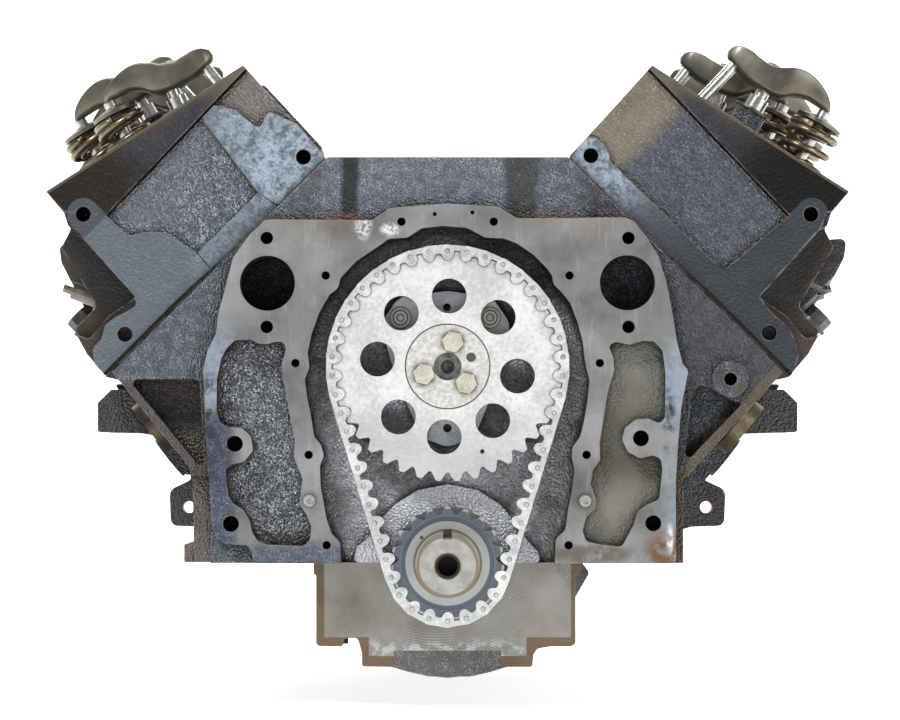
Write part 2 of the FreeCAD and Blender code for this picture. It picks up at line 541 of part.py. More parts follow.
cb = []
for d in MAINS:
    w = 20.0
    cb.append(cut("cam_bearing", cyl("cam_bearing_outer", (0, yd(d - 9), CAMZ), (0, 1, 0), "sizes.cam_bearing_diameter / 2", w),
                  [cyl("cam_bearing_bore", (0, yd(d - 10), CAMZ), (0, 1, 0), "sizes.cam_journal_diameter / 2 + 0.06", w + 2)]))
node(group("cam_bearing_set", cb), "cam_bearings")

# ------------------------------------------------------------- crankshaft
cr = []
cr.append(cyl("snout", (0, yd(-66), 0), (0, 1, 0), "sizes.snout_diameter / 2", 68.0))
cr.append(cyl("sprocket_seat", (0, yd(1), 0), (0, 1, 0), "sizes.snout_diameter / 2 + 1.0", 28.0))
cr.append(cyl("front_shoulder", (0, yd(25.2), 0), (0, 1, 0), 30.0, 6.0))
for d in MAINS:
    cr.append(cyl("main_journal", (0, yd(d - 14.3), 0), (0, 1, 0), "sizes.main_journal_diameter / 2", 28.6))
cheek_pin = [(-33, 8), (-33, 20, 10), (-27, 72, 14), (-14, 86, 14), (14, 86, 14), (27, 72, 14), (33, 20, 10), (33, 8)]
small = [(-40, 10, 6), (-46, -18, 10), (-34, -52, 12), (0, -62, 30), (34, -52, 12), (46, -18, 10), (40, 10, 6)]


def fan(rad):
    a0 = math.radians(28)
    pts = [(rad * math.cos(-a0 - (math.pi - 2 * a0) * k / 12.0), rad * math.sin(-a0 - (math.pi - 2 * a0) * k / 12.0))
           for k in range(13)]
    return [(-38, 10, 6)] + [(p[0], p[1]) for p in reversed(pts)] + [(38, 10, 6)]


def rot2(pts, deg):
    a = math.radians(deg)
    return [(p[0] * math.cos(a) - p[1] * math.sin(a), p[0] * math.sin(a) + p[1] * math.cos(a)) + tuple(p[2:]) for p in pts]


for i, d in enumerate(PINS):
    a = math.radians(PIN_ANG[i])
    px, pz = S("crank_throw") * math.cos(a), S("crank_throw") * math.sin(a)
    cr.append(cyl("rod_journal", (px, yd(d - 25.0), pz), (0, 1, 0), "sizes.rod_journal_diameter / 2", 50.0))
    for s in (-1, 1):
        y0 = d + s * 24.6 if s > 0 else d - 24.6 - S("cheek_thickness")
        cr.append(prism("cheek", rot2(cheek_pin, PIN_ANG[i] - 90), yd(y0), yd(y0), 0, length="sizes.cheek_thickness"))
        big = (i in (0, 3)) or (i == 1 and s > 0) or (i == 2 and s < 0)
        cr.append(prism("counterweight", rot2(fan(S("counterweight_radius")) if big else small, PIN_ANG[i] - 90),
                        yd(y0), yd(y0), 0, length="sizes.cheek_thickness"))
cr.append(cyl("rear_journal", (0, yd(548.4), 0), (0, 1, 0), "sizes.main_journal_diameter / 2 + 4", 10.0))
cr.append(cyl("crank_flange", (0, yd(556), 0), (0, 1, 0), "sizes.flange_diameter / 2", 29.0))
crank = fuse("crank_forging", cr)
cneg = [cyl("snout_thread", (0, yd(-67), 0), (0, 1, 0), 6.4, 45.0),
        cone("snout_sink", (0, yd(-66.01), 0), (0, 1, 0), 8.2, 6.4, 3.0),
        box("keyway", -2.9, 2.9, yd(-66.1), yd(24.5), 17.2, 24.0),
        cyl("pilot_bore", (0, 12, 0), (0, -1, 0), 17.0, 30.0)]
for k in range(6):
    a = math.radians(60 * k + 15)
    cneg.append(cyl("flywheel_hole", (45.45 * math.cos(a), 12, 45.45 * math.sin(a)), (0, -1, 0), 5.1, 26.0))
node(cut("crank_machined", crank, cneg), "crankshaft")
node(box("key_bar", -2.85, 2.85, yd(3), yd(24), 17.3, 22.6), "crank_key")


# --------------------------------------------------------------- timing set
def sprocket_outline(n, cz, clear=0.0):
    """Inverted-tooth chain sprocket: straight flanks at 30 degrees."""
    rp = S("chain_pitch") / (2 * math.sin(math.pi / n))
    rho = rp * math.cos(math.pi / n)
    depth = 6.2 if n > 30 else 5.9
    tan30 = math.tan(math.radians(30))
    pts = []
    for k in range(n):
        a = math.radians(90) - (math.pi / n if n % 2 == 0 else 0.0) - 2 * math.pi * k / n
        er, et = (math.cos(a), math.sin(a)), (math.sin(a), -math.cos(a))
        tw = 1.55 if n > 30 else 1.38
        for x, y in ((-tw - (depth - 0.35) * tan30, -depth), (-tw, -0.35), (tw, -0.35), (tw + (depth - 0.35) * tan30, -depth)):
            rr = 0.7 if y > -1 else 0.5
            pts.append((er[0] * (rho + y) + et[0] * x, cz + er[1] * (rho + y) + et[1] * x, rr))
    return pts


NC, NK = int(S("cam_teeth")), int(S("crank_teeth"))
cs = prism("cam_sprocket_disc", sprocket_outline(NC, CAMZ), yd(5), yd(19))
hub = cyl("cam_sprocket_hub", (0, yd(18), CAMZ), (0, 1, 0), 28.0, 7.6)
holes = [cyl("centre_hole", (0, yd(4), CAMZ), (0, 1, 0), 9.3, 16.2),
         cyl("nose_recess", (0, yd(20.05), CAMZ), (0, 1, 0), 22.2, 8.0)]
for a in (88.7, 131.0, 174.0, 225.7, 267.3, 309.8, 352.2, 44.2):
    a = math.radians(a)
    holes.append(cyl("lightening", (46.9 * math.cos(a), yd(4), CAMZ + 46.9 * math.sin(a)), (0, 1, 0), 11.6, 16.2))
groove = cut("hub_line", cyl("hub_line_o", (0, yd(4), CAMZ), (0, 1, 0), 28.4, 1.7), [cyl("hub_line_i", (0, yd(3), CAMZ), (0, 1, 0), 27.8, 4.0)])
holes.append(groove)
CBOLT = [78.0, 198.0, 318.0]
for a in CBOLT:
    a = math.radians(a)
    holes.append(cyl("cam_bolt_hole", (16.6 * math.cos(a), yd(4), CAMZ + 16.6 * math.sin(a)), (0, 1, 0), 4.15, 17.0))
da = math.radians(21.5)
holes.append(cyl("cam_dowel_hole", (16.8 * math.cos(da), yd(4), CAMZ + 16.8 * math.sin(da)), (0, 1, 0), 3.2, 17.0))
holes.append(cyl("pull_hole", (23, yd(4), CAMZ - 56.5), (0, 1, 0), 1.6, 16.2))
holes.append(cut("rear_relief", cyl("rear_relief_o", (0, yd(13.5), CAMZ), (0, 1, 0), 64.0, 6.0), [cyl("rear_relief_i", (0, yd(13), CAMZ), (0, 1, 0), 28.0, 8.0)]))
node(cut("cam_sprocket_cut", fuse("cam_sprocket_blank", [cs, hub]), holes), "cam_sprocket")

ks = prism("crank_sprocket_disc", sprocket_outline(NK, 0.0), yd(5), yd(19))
khub = cyl("crank_sprocket_hub", (0, yd(1.5), 0), (0, 1, 0), 28.0, 23.4)
kneg = [cyl("crank_sprocket_bore", (0, yd(0), 0), (0, 1, 0), "sizes.snout_diameter / 2 + 1.05", 30.0),
        box("sprocket_keyway", -2.9, 2.9, yd(0), yd(30), 10.0, 22.75),
        cyl("sprocket_mark", (-17.2, yd(1), 17.2), (0, 1, 0), 1.2, 3.0),
        cut("face_groove", cyl("face_groove_o", (0, yd(4.0), 0), (0, 1, 0), 31.5, 2.2), [cyl("face_groove_i", (0, yd(3), 0), (0, 1, 0), 28.0, 5.0)])]
node(cut("crank_sprocket_cut", fuse("crank_sprocket_blank", [ks, khub]), kneg), "crank_sprocket")

cbs = []
for a in CBOLT:
    a = math.radians(a)
    x, z = 16.6 * math.cos(a), CAMZ + 16.6 * math.sin(a)
    cbs.append(fuse("cam_bolt", [cyl("cam_bolt_shank", (x, yd(4.5), z), (0, 1, 0), 4.0, 31.0),
                                 hexa("cam_bolt_head", (x, yd(1.0), z), (0, 1, 0), 12.7, 3.9, 12)]))
node(group("cam_bolt_set", cbs), "cam_sprocket_bolts")
node(cyl("cam_dowel", (16.8 * math.cos(da), yd(5.4), CAMZ + 16.8 * math.sin(da)), (0, 1, 0), 3.1, 24.0), "cam_dowel_pin")

# chain: pin centres along the pitch line
CP = S("chain_pitch")
RC, RK = CP / (2 * math.sin(math.pi / NC)), CP / (2 * math.sin(math.pi / NK))
tilt = math.asin((RC - RK) / CAMZ)
pins = []
for k in range(-11, 12):
    a = math.pi / 2 - 2 * math.pi * k / NC
    pins.append((RC * math.cos(a), CAMZ + RC * math.sin(a)))


def side_path(s):
    """Right-hand run from the last cam pin (s = 0) to the first crank pin (s = 1)."""
    a0 = math.pi / 2 - 2 * math.pi * 11 / NC
    at = -tilt
    arc1 = (a0 - at) * RC
    span = math.sqrt(CAMZ ** 2 - (RC - RK) ** 2)
    a1 = -math.pi / 2 + 2 * math.pi * 3 / NK
    arc2 = (at - a1) * RK
    tot = arc1 + span + arc2
    q = s * tot
    if q <= arc1:
        a = a0 - q / RC
        return (RC * math.cos(a), CAMZ + RC * math.sin(a))
    q -= arc1
    if q <= span:
        f = q / span
        p0 = (RC * math.cos(at), CAMZ + RC * math.sin(at))
        p1 = (RK * math.cos(at), RK * math.sin(at))
        return (p0[0] + f * (p1[0] - p0[0]), p0[1] + f * (p1[1] - p0[1]))
    q -= span
    a = at - q / RK
    return (RK * math.cos(a), RK * math.sin(a))


right = [side_path(k / 11.0) for k in range(1, 11)]
pins += right
for j in range(3, -4, -1):
    a = -math.pi / 2 + 2 * math.pi * j / NK
    pins.append((RK * math.cos(a), RK * math.sin(a)))
pins += [(-p[0], p[1]) for p in reversed(right)]

link_half = [(0, 0.55), (1.7, 0.35), (1.95, -0.35), (4.75, -5.0), (6.15, -5.1), (8.6, -2.9), (9.9, -1.2)]


def link_face(p, q, y0, t, outer):
    """One plate between pins p and q, laid in the plane y0 and t thick."""
    cx, cz = (p[0] + q[0]) / 2, (p[1] + q[1]) / 2
    dx, dz = q[0] - p[0], q[1] - p[1]
    ln = math.hypot(dx, dz)
    ex = (dx / ln, dz / ln)
    ez = (-ex[1], ex[0])
    h = ln / 2

    def W(x, z):
        return Vector(cx + ex[0] * x + ez[0] * z, 0, cz + ex[1] * x + ez[1] * z)
    r = 4.15
    e = []
    if outer:
        a0, a1 = W(0.0, -1.35), None
        pr = [W(2.3, -2.3), W(3.0, -4.2)]
        br = [W(h + 2.0, -5.4), W(h + r, -0.6)]
        pl = [W(-2.3, -2.3), W(-3.0, -4.2)]
        bl = [W(-h - 2.0, -5.4), W(-h - r, -0.6)]
        e.append(Part.Arc(pl[0], a0, pr[0]).toShape())
        e.append(Part.makeLine(pr[0], pr[1]))
        e.append(Part.Arc(pr[1], W(4.6, -5.9), br[0]).toShape())
        e.append(Part.Arc(br[0], W(h + r - 0.35, -2.6), br[1]).toShape())
        e.append(Part.Arc(br[1], W(h + 2.9, 2.97), W(h, r)).toShape())
        e.append(Part.makeLine(W(h, r), W(-h, r)))
        e.append(Part.Arc(W(-h, r), W(-h - 2.9, 2.97), bl[1]).toShape())
        e.append(Part.Arc(bl[1], W(-h - r + 0.35, -2.6), bl[0]).toShape())
        e.append(Part.Arc(bl[0], W(-4.6, -5.9), pl[1]).toShape())
        e.append(Part.makeLine(pl[1], pl[0]))
    else:
        pts = [W(*c) for c in link_half] + [W(h + 4.1, 0.0)]
        for a, b in zip(pts, pts[1:]):
            e.append(Part.makeLine(a, b))
        e.append(Part.Arc(pts[-1], W(h + 2.9, 2.9), W(h, 4.1)).toShape())
        e.append(Part.makeLine(W(h, 4.1), W(-h, 4.1)))
        e.append(Part.Arc(W(-h, 4.1), W(-h - 2.9, 2.9), W(-h - 4.1, 0)).toShape())
        ptl = [W(-h - 4.1, 0.0)] + [W(-c[0], c[1]) for c in reversed(link_half)]
        for a, b in zip(ptl, ptl[1:]):
            if a.sub(b).Length > 1e-6:
                e.append(Part.makeLine(a, b))
    w = Part.Wire(Part.__sortEdges__(e))
    ws = [w]
    for s in (-1, 1):
        c = W(s * h, 0)
        ws.append(Part.Wire([Part.makeCircle(1.8, c, Vector(0, 1, 0))]))
    f = Part.Face(ws)
    f.translate(Vector(0, y0, 0))
    sh = f.extrude(Vector(0, t, 0))
    return sh


guides, teeth = [], []
for k in range(50):
    p, q = pins[k], pins[(k + 1) % 50]
    if k % 2 == 0:
        guides.append(link_face(p, q, yd(3.3), 1.3, True))
        guides.append(link_face(p, q, yd(19.4), 1.3, True))
        for y in (8.0, 13.6):
            teeth.append(link_face(p, q, yd(y), 2.5, False))
    else:
        for y in (5.2, 10.8, 16.4):
            teeth.append(link_face(p, q, yd(y), 2.5, False))
o = doc.addObject("Part::Feature", "guide_plates")
o.Shape = Part.makeCompound(guides)
node(o, "chain_guide_plates")
o = doc.addObject("Part::Feature", "toothed_links")
o.Shape = Part.makeCompound(teeth)
node(o, "chain_toothed_links")
cps = []
for p in pins:
    s = Part.makeCylinder(1.7, 18.6, Vector(p[0], yd(2.7), p[1]), Vector(0, 1, 0))
    cps.append(s.makeChamfer(0.35, [e for e in s.Edges if e.Length < 11 and abs(e.BoundBox.YMin - e.BoundBox.YMax) < 0.01]))
o = doc.addObject("Part::Feature", "link_pins")
o.Shape = Part.makeCompound(cps)
node(o, "chain_pins")

# thrust plate and its screws
tp = [(-45, 160, 12), (-33, 177.5, 12), (0, 182, 30), (30, 177.5, 12), (42, 160, 12), (36, 128, 20), (18, 84, 12), (0, 77, 14), (-18, 84, 12), (-36, 128, 20)]
tpb = prism("thrust_blank", tp, yd(26), yd(31.95), 3.0)
tpn = [cyl("thrust_bore", (0, yd(25), CAMZ), (0, 1, 0), 22.4, 8.0),
       cyl("thrust_oil_top", (-0.4, yd(25), 171), (0, 1, 0), 2.6, 8.0), cyl("thrust_oil_low", (-0.2, yd(25), 90), (0, 1, 0), 2.9, 8.0)]
for x, z in THR:
    tpn.append(cyl("thrust_screw_hole", (x, yd(25), z), (0, 1, 0), 4.1, 8.0))
node(cut("thrust_plate", tpb, tpn), "cam_thrust_plate")
ts = []
for x, z in THR:
    body = fuse("thrust_screw", [cyl("ts_shank", (x, yd(25.5), z), (0, 1, 0), 4.0, 19.0), cyl("ts_washer", (x, yd(24.6), z), (0, 1, 0), 7.4, 1.3),
                                 cyl("ts_head", (x, yd(21.4), z), (0, 1, 0), 5.6, 3.4)])
    ts.append(cut("thrust_screw_done", body, [hexa("ts_socket", (x, yd(21.2), z), (0, 1, 0), 5.0, 2.6)]))
node(group("thrust_screws", ts), "thrust_plate_screws")

# --------------------------------------------------------------- camshaft
cm = [cyl("cam_core", (0, yd(34), CAMZ), (0, 1, 0), "sizes.cam_core_diameter / 2", 508.0),
      cyl("cam_nose", (0, yd(20.2), CAMZ), (0, 1, 0), 22.0, 13.0),
      cyl("cam_step", (0, yd(32.4), CAMZ), (0, 1, 0), 24.2, 3.0)]
for d in MAINS:
    cm.append(cyl("cam_journal", (0, yd(d - 9), CAMZ), (0, 1, 0), "sizes.cam_journal_diameter / 2", 20.0))
rb, lf = S("cam_base_diameter") / 2, S("cam_lift")
lobe_c = []
fire = {1: [0, 90, 180, 270], -1: [270, 180, 0, 90]}
for side, kind, d in LIFT:
    pa = ROCK[kind]["pa"]
    idx = valve_y(side, kind).index(d)
    base = math.degrees(math.atan2(pa[1], side * pa[0]))
    turn = base + 118 + 90 * ((idx * 3 + (1 if side < 0 else 0) + (2 if kind == "intake" else 0)) % 4) * 0.62
    a = math.radians(turn)
    off = lf + rb - 8.5
    geo = []
    cm.append(cyl("lobe_base", (0, yd(d - 6.5), CAMZ), (0, 1, 0), "sizes.cam_base_diameter / 2", 13.0))
    nx, nz = off * math.cos(a), CAMZ + off * math.sin(a)
    # tangent flanks from the base circle to the nose circle
    al = math.acos((rb - 8.5) / off)
    q = []
    for s in (1, -1):
        q.append((rb * math.cos(a + s * al), CAMZ + rb * math.sin(a + s * al)))
        q.append((nx + 8.5 * math.cos(a + s * al), nz + 8.5 * math.sin(a + s * al)))
    cm.append(prism("lobe_flank", [q[0], q[1], q[3], q[2]], yd(d - 6.5), yd(d + 6.5)))
    cm.append(cyl("lobe_nose", (nx, yd(d - 6.5), nz), (0, 1, 0), 8.5, 13.0))
camb = fuse("cam_blank", cm)
camn = [cyl("cam_centre", (0, yd(20), CAMZ), (0, 1, 0), 4.6, 30.0),
        cyl("cam_pin_hole", (16.8 * math.cos(da), yd(20), CAMZ + 16.8 * math.sin(da)), (0, 1, 0), 3.15, 12.0)]
for a in CBOLT:
    a = math.radians(a)
    camn.append(cyl("cam_tap", (16.6 * math.cos(a), yd(20), CAMZ + 16.6 * math.sin(a)), (0, 1, 0), 4.05, 20.0))
camn_bolt_limit = cyl("cam_bolt_room", (0, yd(54), CAMZ), (0, 1, 0), 0.1, 0.1)
doc.removeObject(camn_bolt_limit.Name)
node(cut("cam_machined", camb, camn), "camshaft")

# ------------------------------------------------------------ cylinder heads
RAIL0, RAILS = 82.5, (116.0 - 82.5) / (14.5 + 138.5)


def rail(u):
    return RAIL0 + (u + 138.5) * RAILS


head_prof = [(-133.5, 0), (-134.6, 6), (-138.5, 82.5), (14.5, 116), (16, 98, 3), (21, 88, 4), (34, 84, 5), (45, 39, 4), (66.5, 39, 3),
             (72, 20, 3), (73.5, 0)]
hb = [prism("head_body", head_prof, WB + 4, WA - 4, 0)]
# raised pads of the two casting ends
wedge = [(-138.0, 79.5), (-3.0, 76.5), (15.3, 98), (14.5, 116), (-138.5, 82.5)]
padA = [(-93.4, 74.1), (-94.9, 77.4, 3), (-104.5, 78.3, 5), (-109.0, 73.6, 4), (-113.5, 64.0, 4), (-115.7, 43.9, 4), (-128.8, 49.4, 4),
        (-136.0, 29.6, 3), (-134.2, 3, 2), (-133.5, 0), (-88.8, 0), (-85.6, 16.2, 1)]
padB = [(-88.0, 0), (-87.6, 15.4, 1), (-28.4, 15.4, 1), (-26.6, 0)]
padC = [(-2.9, 77), (-3.7, 55.2, 8), (-12.7, 50.8, 6), (-23.2, 40.2, 8), (-27.8, 16.2, 3), (-26.2, 0), (73.5, 0), (72.7, 12, 3), (66, 20, 5), (57.7, 20, 4),
        (49.1, 25.0, 4), (39.6, 23.4, 4), (32.0, 20.8, 4), (23.5, 19.0, 4), (19.5, 84, 6), (17, 97, 5), (4, 99, 8)]
strip = [(-133.5, 0), (-135.5, 17.3, 6), (-131, 22, 8), (-119.9, 22, 8), (-111.8, 17.2, 3), (-7.8, 19.0, 1), (-2.5, 77.6, 3), (-4.2, 89, 6), (3, 98, 8),
         (12.7, 97.4, 8), (17.5, 86.9, 6), (21.5, 24, 3), (32, 22, 4), (50, 23, 6), (60.3, 19.7, 5), (68, 15, 5), (73.5, 3), (73.5, 0)]
hb.append(prism("pad_a", padA, WA - 6, WA, 2))
hb.append(prism("pad_b", padB, WA - 6, WA - 1.4, 1))
hb.append(prism("pad_c", padC, WA - 6, WA - 0.3, 2))
hb.append(prism("wedge_a", wedge, WA - 6, WA + 0.0, 1))
hb.append(prism("strip_b", strip, WB, WB + 6, 2))
hb.append(prism("wedge_b", wedge, WB, WB + 6, 1))
IU, EU = [w + VS for w in WC], [w - VS for w in WC]
for w in EU:
    hb.append(prism("exhaust_flange", [(26, 84), (36, 95.5, 4), (44, 85, 4), (58.3, 41, 2), (40, 32)], w - 27, w + 27, 2))
for w in IU:
    hb.append(prism("intake_face", [(-128, 4), (-137.8, 8, 2), (-140.0, 66, 3), (-128, 70)], w + 1, w + 54, 2))
hneg = []
# core line under the cover rail at both ends
hneg.append(prism("line_a", [(-137.6, 78.0), (-3.2, 75.0), (-3.0, 76.4), (-137.6, 79.6)], WA - 9, WA + 1))
hneg.append(prism("line_b", [(-137.8, 78.0), (-3.2, 75.0), (-3.0, 76.4), (-137.8, 79.6)], WB - 1, WB + 9))
# outer end reliefs
rel = [(21.8, 24), (18.6, 84, 6), (21, 92), (60, 110), (80, 60), (64, 26, 4), (44, 28, 6)]
hneg.append(prism("relief_a", rel, WA - 16, WA + 1))
hneg.append(prism("relief_b", rel, WB - 1, WB + 16))
# rocker chamber
cham = [(-127, rail(-127) - 20, 4), (-100, rail(-100) - 22, 4), (4.2, rail(4.2) - 22, 6), (4.2, rail(4.2) + 10), (-127, rail(-127) + 10)]
hneg.append(prism("rocker_chamber", cham, WB + 11, WA - 11))
head_a = cut("head_open", fuse("head_cast", hb), hneg)
hadd = [head_a]
for kind, ws in (("intake", IU), ("exhaust", EU)):
    k = ROCK[kind]
    tu, tv = to_uv(*k["T"])
    au, av = dir_uv(*k["va"])
    cu, cv = to_uv(*k["C"])
    bu, bv = dir_uv(*k["ez"])
    sd = S("seat_depth")
    for w in ws:
        hadd.append(cyl("spring_boss", (tu - au * (sd + 22), w, tv - av * (sd + 22)), (au, 0, av), 20.5, 22.0))
        hadd.append(cyl("rocker_boss", (cu - bu * 76, w, cv - bv * 76), (bu, 0, bv), 11.0, 50.0))
head_b = fuse("head_bossed", hadd)
hn = []
for kind, ws in (("intake", IU), ("exhaust", EU)):
    k = ROCK[kind]
    tu, tv = to_uv(*k["T"])
    au, av = dir_uv(*k["va"])
    cu, cv = to_uv(*k["C"])
    bu, bv = dir_uv(*k["ez"])
    pu, pv = to_uv(*k["P"])
    qu, qv = dir_uv(*k["pa"])
    ln = (tv - 8.0) / av      # tip to head plane, 8 mm above the deck
    vr = S(k["r"]) / 2
    k["vlen"] = ln
    for w in ws:
        hn.append(cyl("guide_bore", (tu - au * ln, w, tv - av * ln), (au, 0, av), "sizes.guide_diameter / 2 + 0.05", ln - 40))
        hn.append(cyl("valve_pocket", (tu - au * (ln + 40), w, tv - av * (ln + 40)), (au, 0, av), vr + 0.5, 44.2))
        hn.append(cyl("bowl", (tu - au * (ln - 3), w, tv - av * (ln - 3)), (au, 0, av), vr - 2.0, 33.0))
        hn.append(cyl("pushrod_hole", (pu - qu * 150, w, pv - qv * 150), (qu, 0, qv), 8.0, 150.0))
        hn.append(cyl("rocker_tap", (cu - bu * 52, w, cv - bv * 52), (bu, 0, bv), "sizes.rocker_bolt_diameter / 2 + 0.05", 30.0))
for w in IU:
    hn.append(prism("intake_port", [(-145, 12, 1), (-145, 54, 1), (-82, 54, 6), (-82, 14, 6)], w + 10, w + 45, 8))
    hn.append(prism("intake_runner", [(-92, 16), (-92, 53), (-17, 58), (-17, 24)], w - 18, w + 25))
for w in EU:
    hn.append(prism("exhaust_port", [(-8, 32, 6), (-8, 66, 6), (62, 74, 2), (66, 46, 2), (30, 40, 4)], w - 18, w + 18, 4))
    for s in (-1, 1):
        hn.append(cyl("exhaust_stud_hole", (60, w + s * 22.5, 63), (-0.946, 0, -0.324), 4.3, 26.0))
for i, w in enumerate(WC):
    hn.append(cyl("chamber", (0, w, -1), (0, 0, 1), 46.0, 11.0))
    hn.append(cyl("plug_hole", (25, w + 15, 6), (0.42, 0, 0.907), 7.1, 30.0))
    hn.append(cyl("plug_well", (25 + .42 * 28, w + 15, 6 + .907 * 28), (0.42, 0, 0.907), 13.0, 80.0))
for u, w in HB:
    hn.append(cyl("head_bolt_bore", (u, w, -2), (0, 0, 1), "sizes.head_bolt_diameter / 2 + 0.4", 110.0))
    hn.append(cyl("bolt_spot", (u, w, 37.4 if u > 0 else rail(u) - 20.6), (0, 0, 1), 11.8, 60.0))
EH = {"a": [(-123.5, 10.6), (7.4, 87.6), (44.4, 11.2)], "b": [(-124.6, 10.9), (6.9, 87.1), (43.3, 11.4)]}
for (u, v), deep in zip(EH["a"], (30.0, 24.0, 18.0)):
    hn.append(cyl("end_hole_a", (u, WA + 1, v), (0, -1, 0), 5.0, deep))
for (u, v), deep in zip(EH["b"], (31.0, 25.0, 19.0)):
    hn.append(cyl("end_hole_b", (u, WB - 1, v), (0, 1, 0), 5.0, deep))
for w in (WB + 5.5, WC[0] + 61, WC[1] + 61, WC[2] + 61, WA - 5.5):
    hn.append(cyl("rail_hole_out", (9.3, w, rail(9.3) + 1), (0.214, 0, -0.977), 2.9, 16.0))
for w in (WC[0] + 20, WC[1] + 20, WC[2] + 20, WC[3] + 20):
    hn.append(cyl("rail_hole_in", (-132.8, w - 20, rail(-132.8) + 1), (0.214, 0, -0.977), 2.9, 12.0))
head_master = cut("head_master", head_b, hn)
node(link("left_head_link", head_master, HP[1]), "left_cylinder_head")
node(link("right_head_link", head_master, HP[-1]), "right_cylinder_head")

# head gaskets: on the block deck, below the casting (master frame, v < 0)
gp = [(-133, -1.0), (-133, -0.02), (73, -0.02), (73, -1.0)]
gk = prism("gasket_sheet", gp, WB + 1, WA - 1)
gh = []
for w in WC:
    gh.append(cyl("gasket_bore", (0, w, -3), (0, 0, 1), 55.6, 6.0))
for u, w in HB:
    gh.append(cyl("gasket_bolt", (u, w, -3), (0, 0, 1), 6.6, 6.0))
for kind, ws in (("intake", IU), ("exhaust", EU)):
    k = ROCK[kind]
    pu, pv = to_uv(*k["P"])
    qu, qv = dir_uv(*k["pa"])
    for w in ws:
        gh.append(cyl("gasket_pushrod", (pu - qu * pv / qv, w, -3), (0, 0, 1), 8.6, 6.0))
gasket_master = cut("gasket_master", gk, gh)
node(link("left_gasket_link", gasket_master, HP[1]), "left_head_gasket")
node(link("right_gasket_link", gasket_master, HP[-1]), "right_head_gasket")


def arrayed(name, master, label, sides=(1, -1)):
    """One compound of links to a master built in the head frame."""
    ls = [link(name + "_on_bank", master, HP[s]) for s in sides]
    return node(group(name, ls), label)


hbm = []
for u, w in HB:
    top = rail(u) - 22 if u < 0 else 36.0
    hbm.append(fuse("head_bolt", [cyl("hb_shank", (u, w, -38), (0, 0, 1), "sizes.head_bolt_diameter / 2", top + 39),
                                  cyl("hb_flange", (u, w, top + 1.4), (0, 0, 1), 11.0, 2.0),
                                  hexa("hb_head", (u, w, top + 3), (0, 0, 1), 16.0, 9.0)]))
arrayed("head_bolt_set", group("head_bolt_master", hbm), "head_bolts")

parts_m = {"balls": [], "bolts": [], "plates": [], "seats": [], "guides": []}
for kind, ws in (("intake", IU), ("exhaust", EU)):
    k = ROCK[kind]
    tu, tv = to_uv(*k["T"])
    au, av = dir_uv(*k["va"])
    cu, cv = to_uv(*k["C"])
    bu, bv = dir_uv(*k["ez"])
    sd = S("seat_depth")
    for w in ws:
        at = lambda q: (cu + bu * q, w, cv + bv * q)
        b0 = ball("fulcrum_ball", (cu, w, cv), "sizes.fulcrum_diameter / 2")
        top = cyl("ball_flat", at(3.0), (bu, 0, bv), 14.0, 12.0)
        hole = cyl("ball_hole", at(-14), (bu, 0, bv), "sizes.rocker_bolt_diameter / 2 + 0.05", 30.0)
        parts_m["balls"].append(cut("fulcrum", b0, [top, hole]))
        parts_m["bolts"].append(fuse("rocker_bolt", [cyl("rb_shank", at(-48), (bu, 0, bv), "sizes.rocker_bolt_diameter / 2", 52.0),
                                                     cyl("rb_collar", at(-24.3), (bu, 0, bv), 7.2, 9.0),
                                                     hexa("rb_head", at(3.05), (bu, 0, bv), 13.0, 6.5)]))
        pl0 = cyl("plate_disc", at(-25.9), (bu, 0, bv), 13.0, 1.5)
        pu, pv = to_uv(*k["P"])
        qu, qv = dir_uv(*k["pa"])
        tt = (cv - pv + bv * -25.1) / qv
        px = pu + qu * tt
        arm = cyl("plate_arm", (px, w, at(-25.9)[2] - 3.0), (bu, 0, bv), 10.5, 1.5)
        tools = [cyl("plate_bolt_hole", at(-40), (bu, 0, bv), "sizes.rocker_bolt_diameter / 2 + 0.1", 30.0),
                 cyl("plate_rod_hole", (pu - qu * 70, w, pv - qv * 70), (qu, 0, qv), 5.4, 70.0)]
        parts_m["plates"].append(cut("guide_plate", pl0, tools[:1]))
        doc.removeObject(arm.Name)
        doc.removeObject(tools[1].Name)
        so = cyl("seat_washer_o", (tu - au * (sd - 0.02), w, tv - av * (sd - 0.02)), (au, 0, av), 19.6, 1.6)
        si = cyl("seat_washer_i", (tu - au * (sd + 2), w, tv - av * (sd + 2)), (au, 0, av), 7.7, 6.0)
        parts_m["seats"].append(cut("spring_seat", so, [si]))
        go = cyl("guide_o", (tu - au * 102, w, tv - av * 102), (au, 0, av), "sizes.guide_diameter / 2", 58.0)
        gi = cyl("guide_i", (tu - au * 110, w, tv - av * 110), (au, 0, av), "sizes.stem_diameter / 2 + 0.12", 70.0)
        parts_m["guides"].append(cut("valve_guide", go, [gi]))
for key, lab in (("balls", "rocker_fulcrum_balls"), ("bolts", "rocker_bolts"), ("plates", "pushrod_guide_plates"),
                 ("seats", "spring_seats"), ("guides", "valve_guides")):
    arrayed(key + "_set", group(key + "_master", parts_m[key]), lab)

# spark plugs (master frame)
sp = []
pd = (0.42, 0, 0.907)
for w in WC:
    q = lambda t: (25 + .42 * (t + 2), w + 15, 6 + .907 * (t + 2))
    sp.append(fuse("spark_plug", [cyl("plug_thread", q(6), pd, 6.9, 20.5), cyl("plug_seat", q(26.1), pd, 8.6, 3.0), hexa("plug_hex", q(29), pd, 16.0, 11.0),
                                  cyl("plug_shell", q(40), pd, 7.2, 5.0), cyl("plug_ceramic", q(44.5), pd, 5.3, 18.0), cyl("plug_terminal", q(62), pd, 2.8, 7.0)]))
arrayed("spark_plug_set", group("spark_plug_master", sp), "spark_plugs")

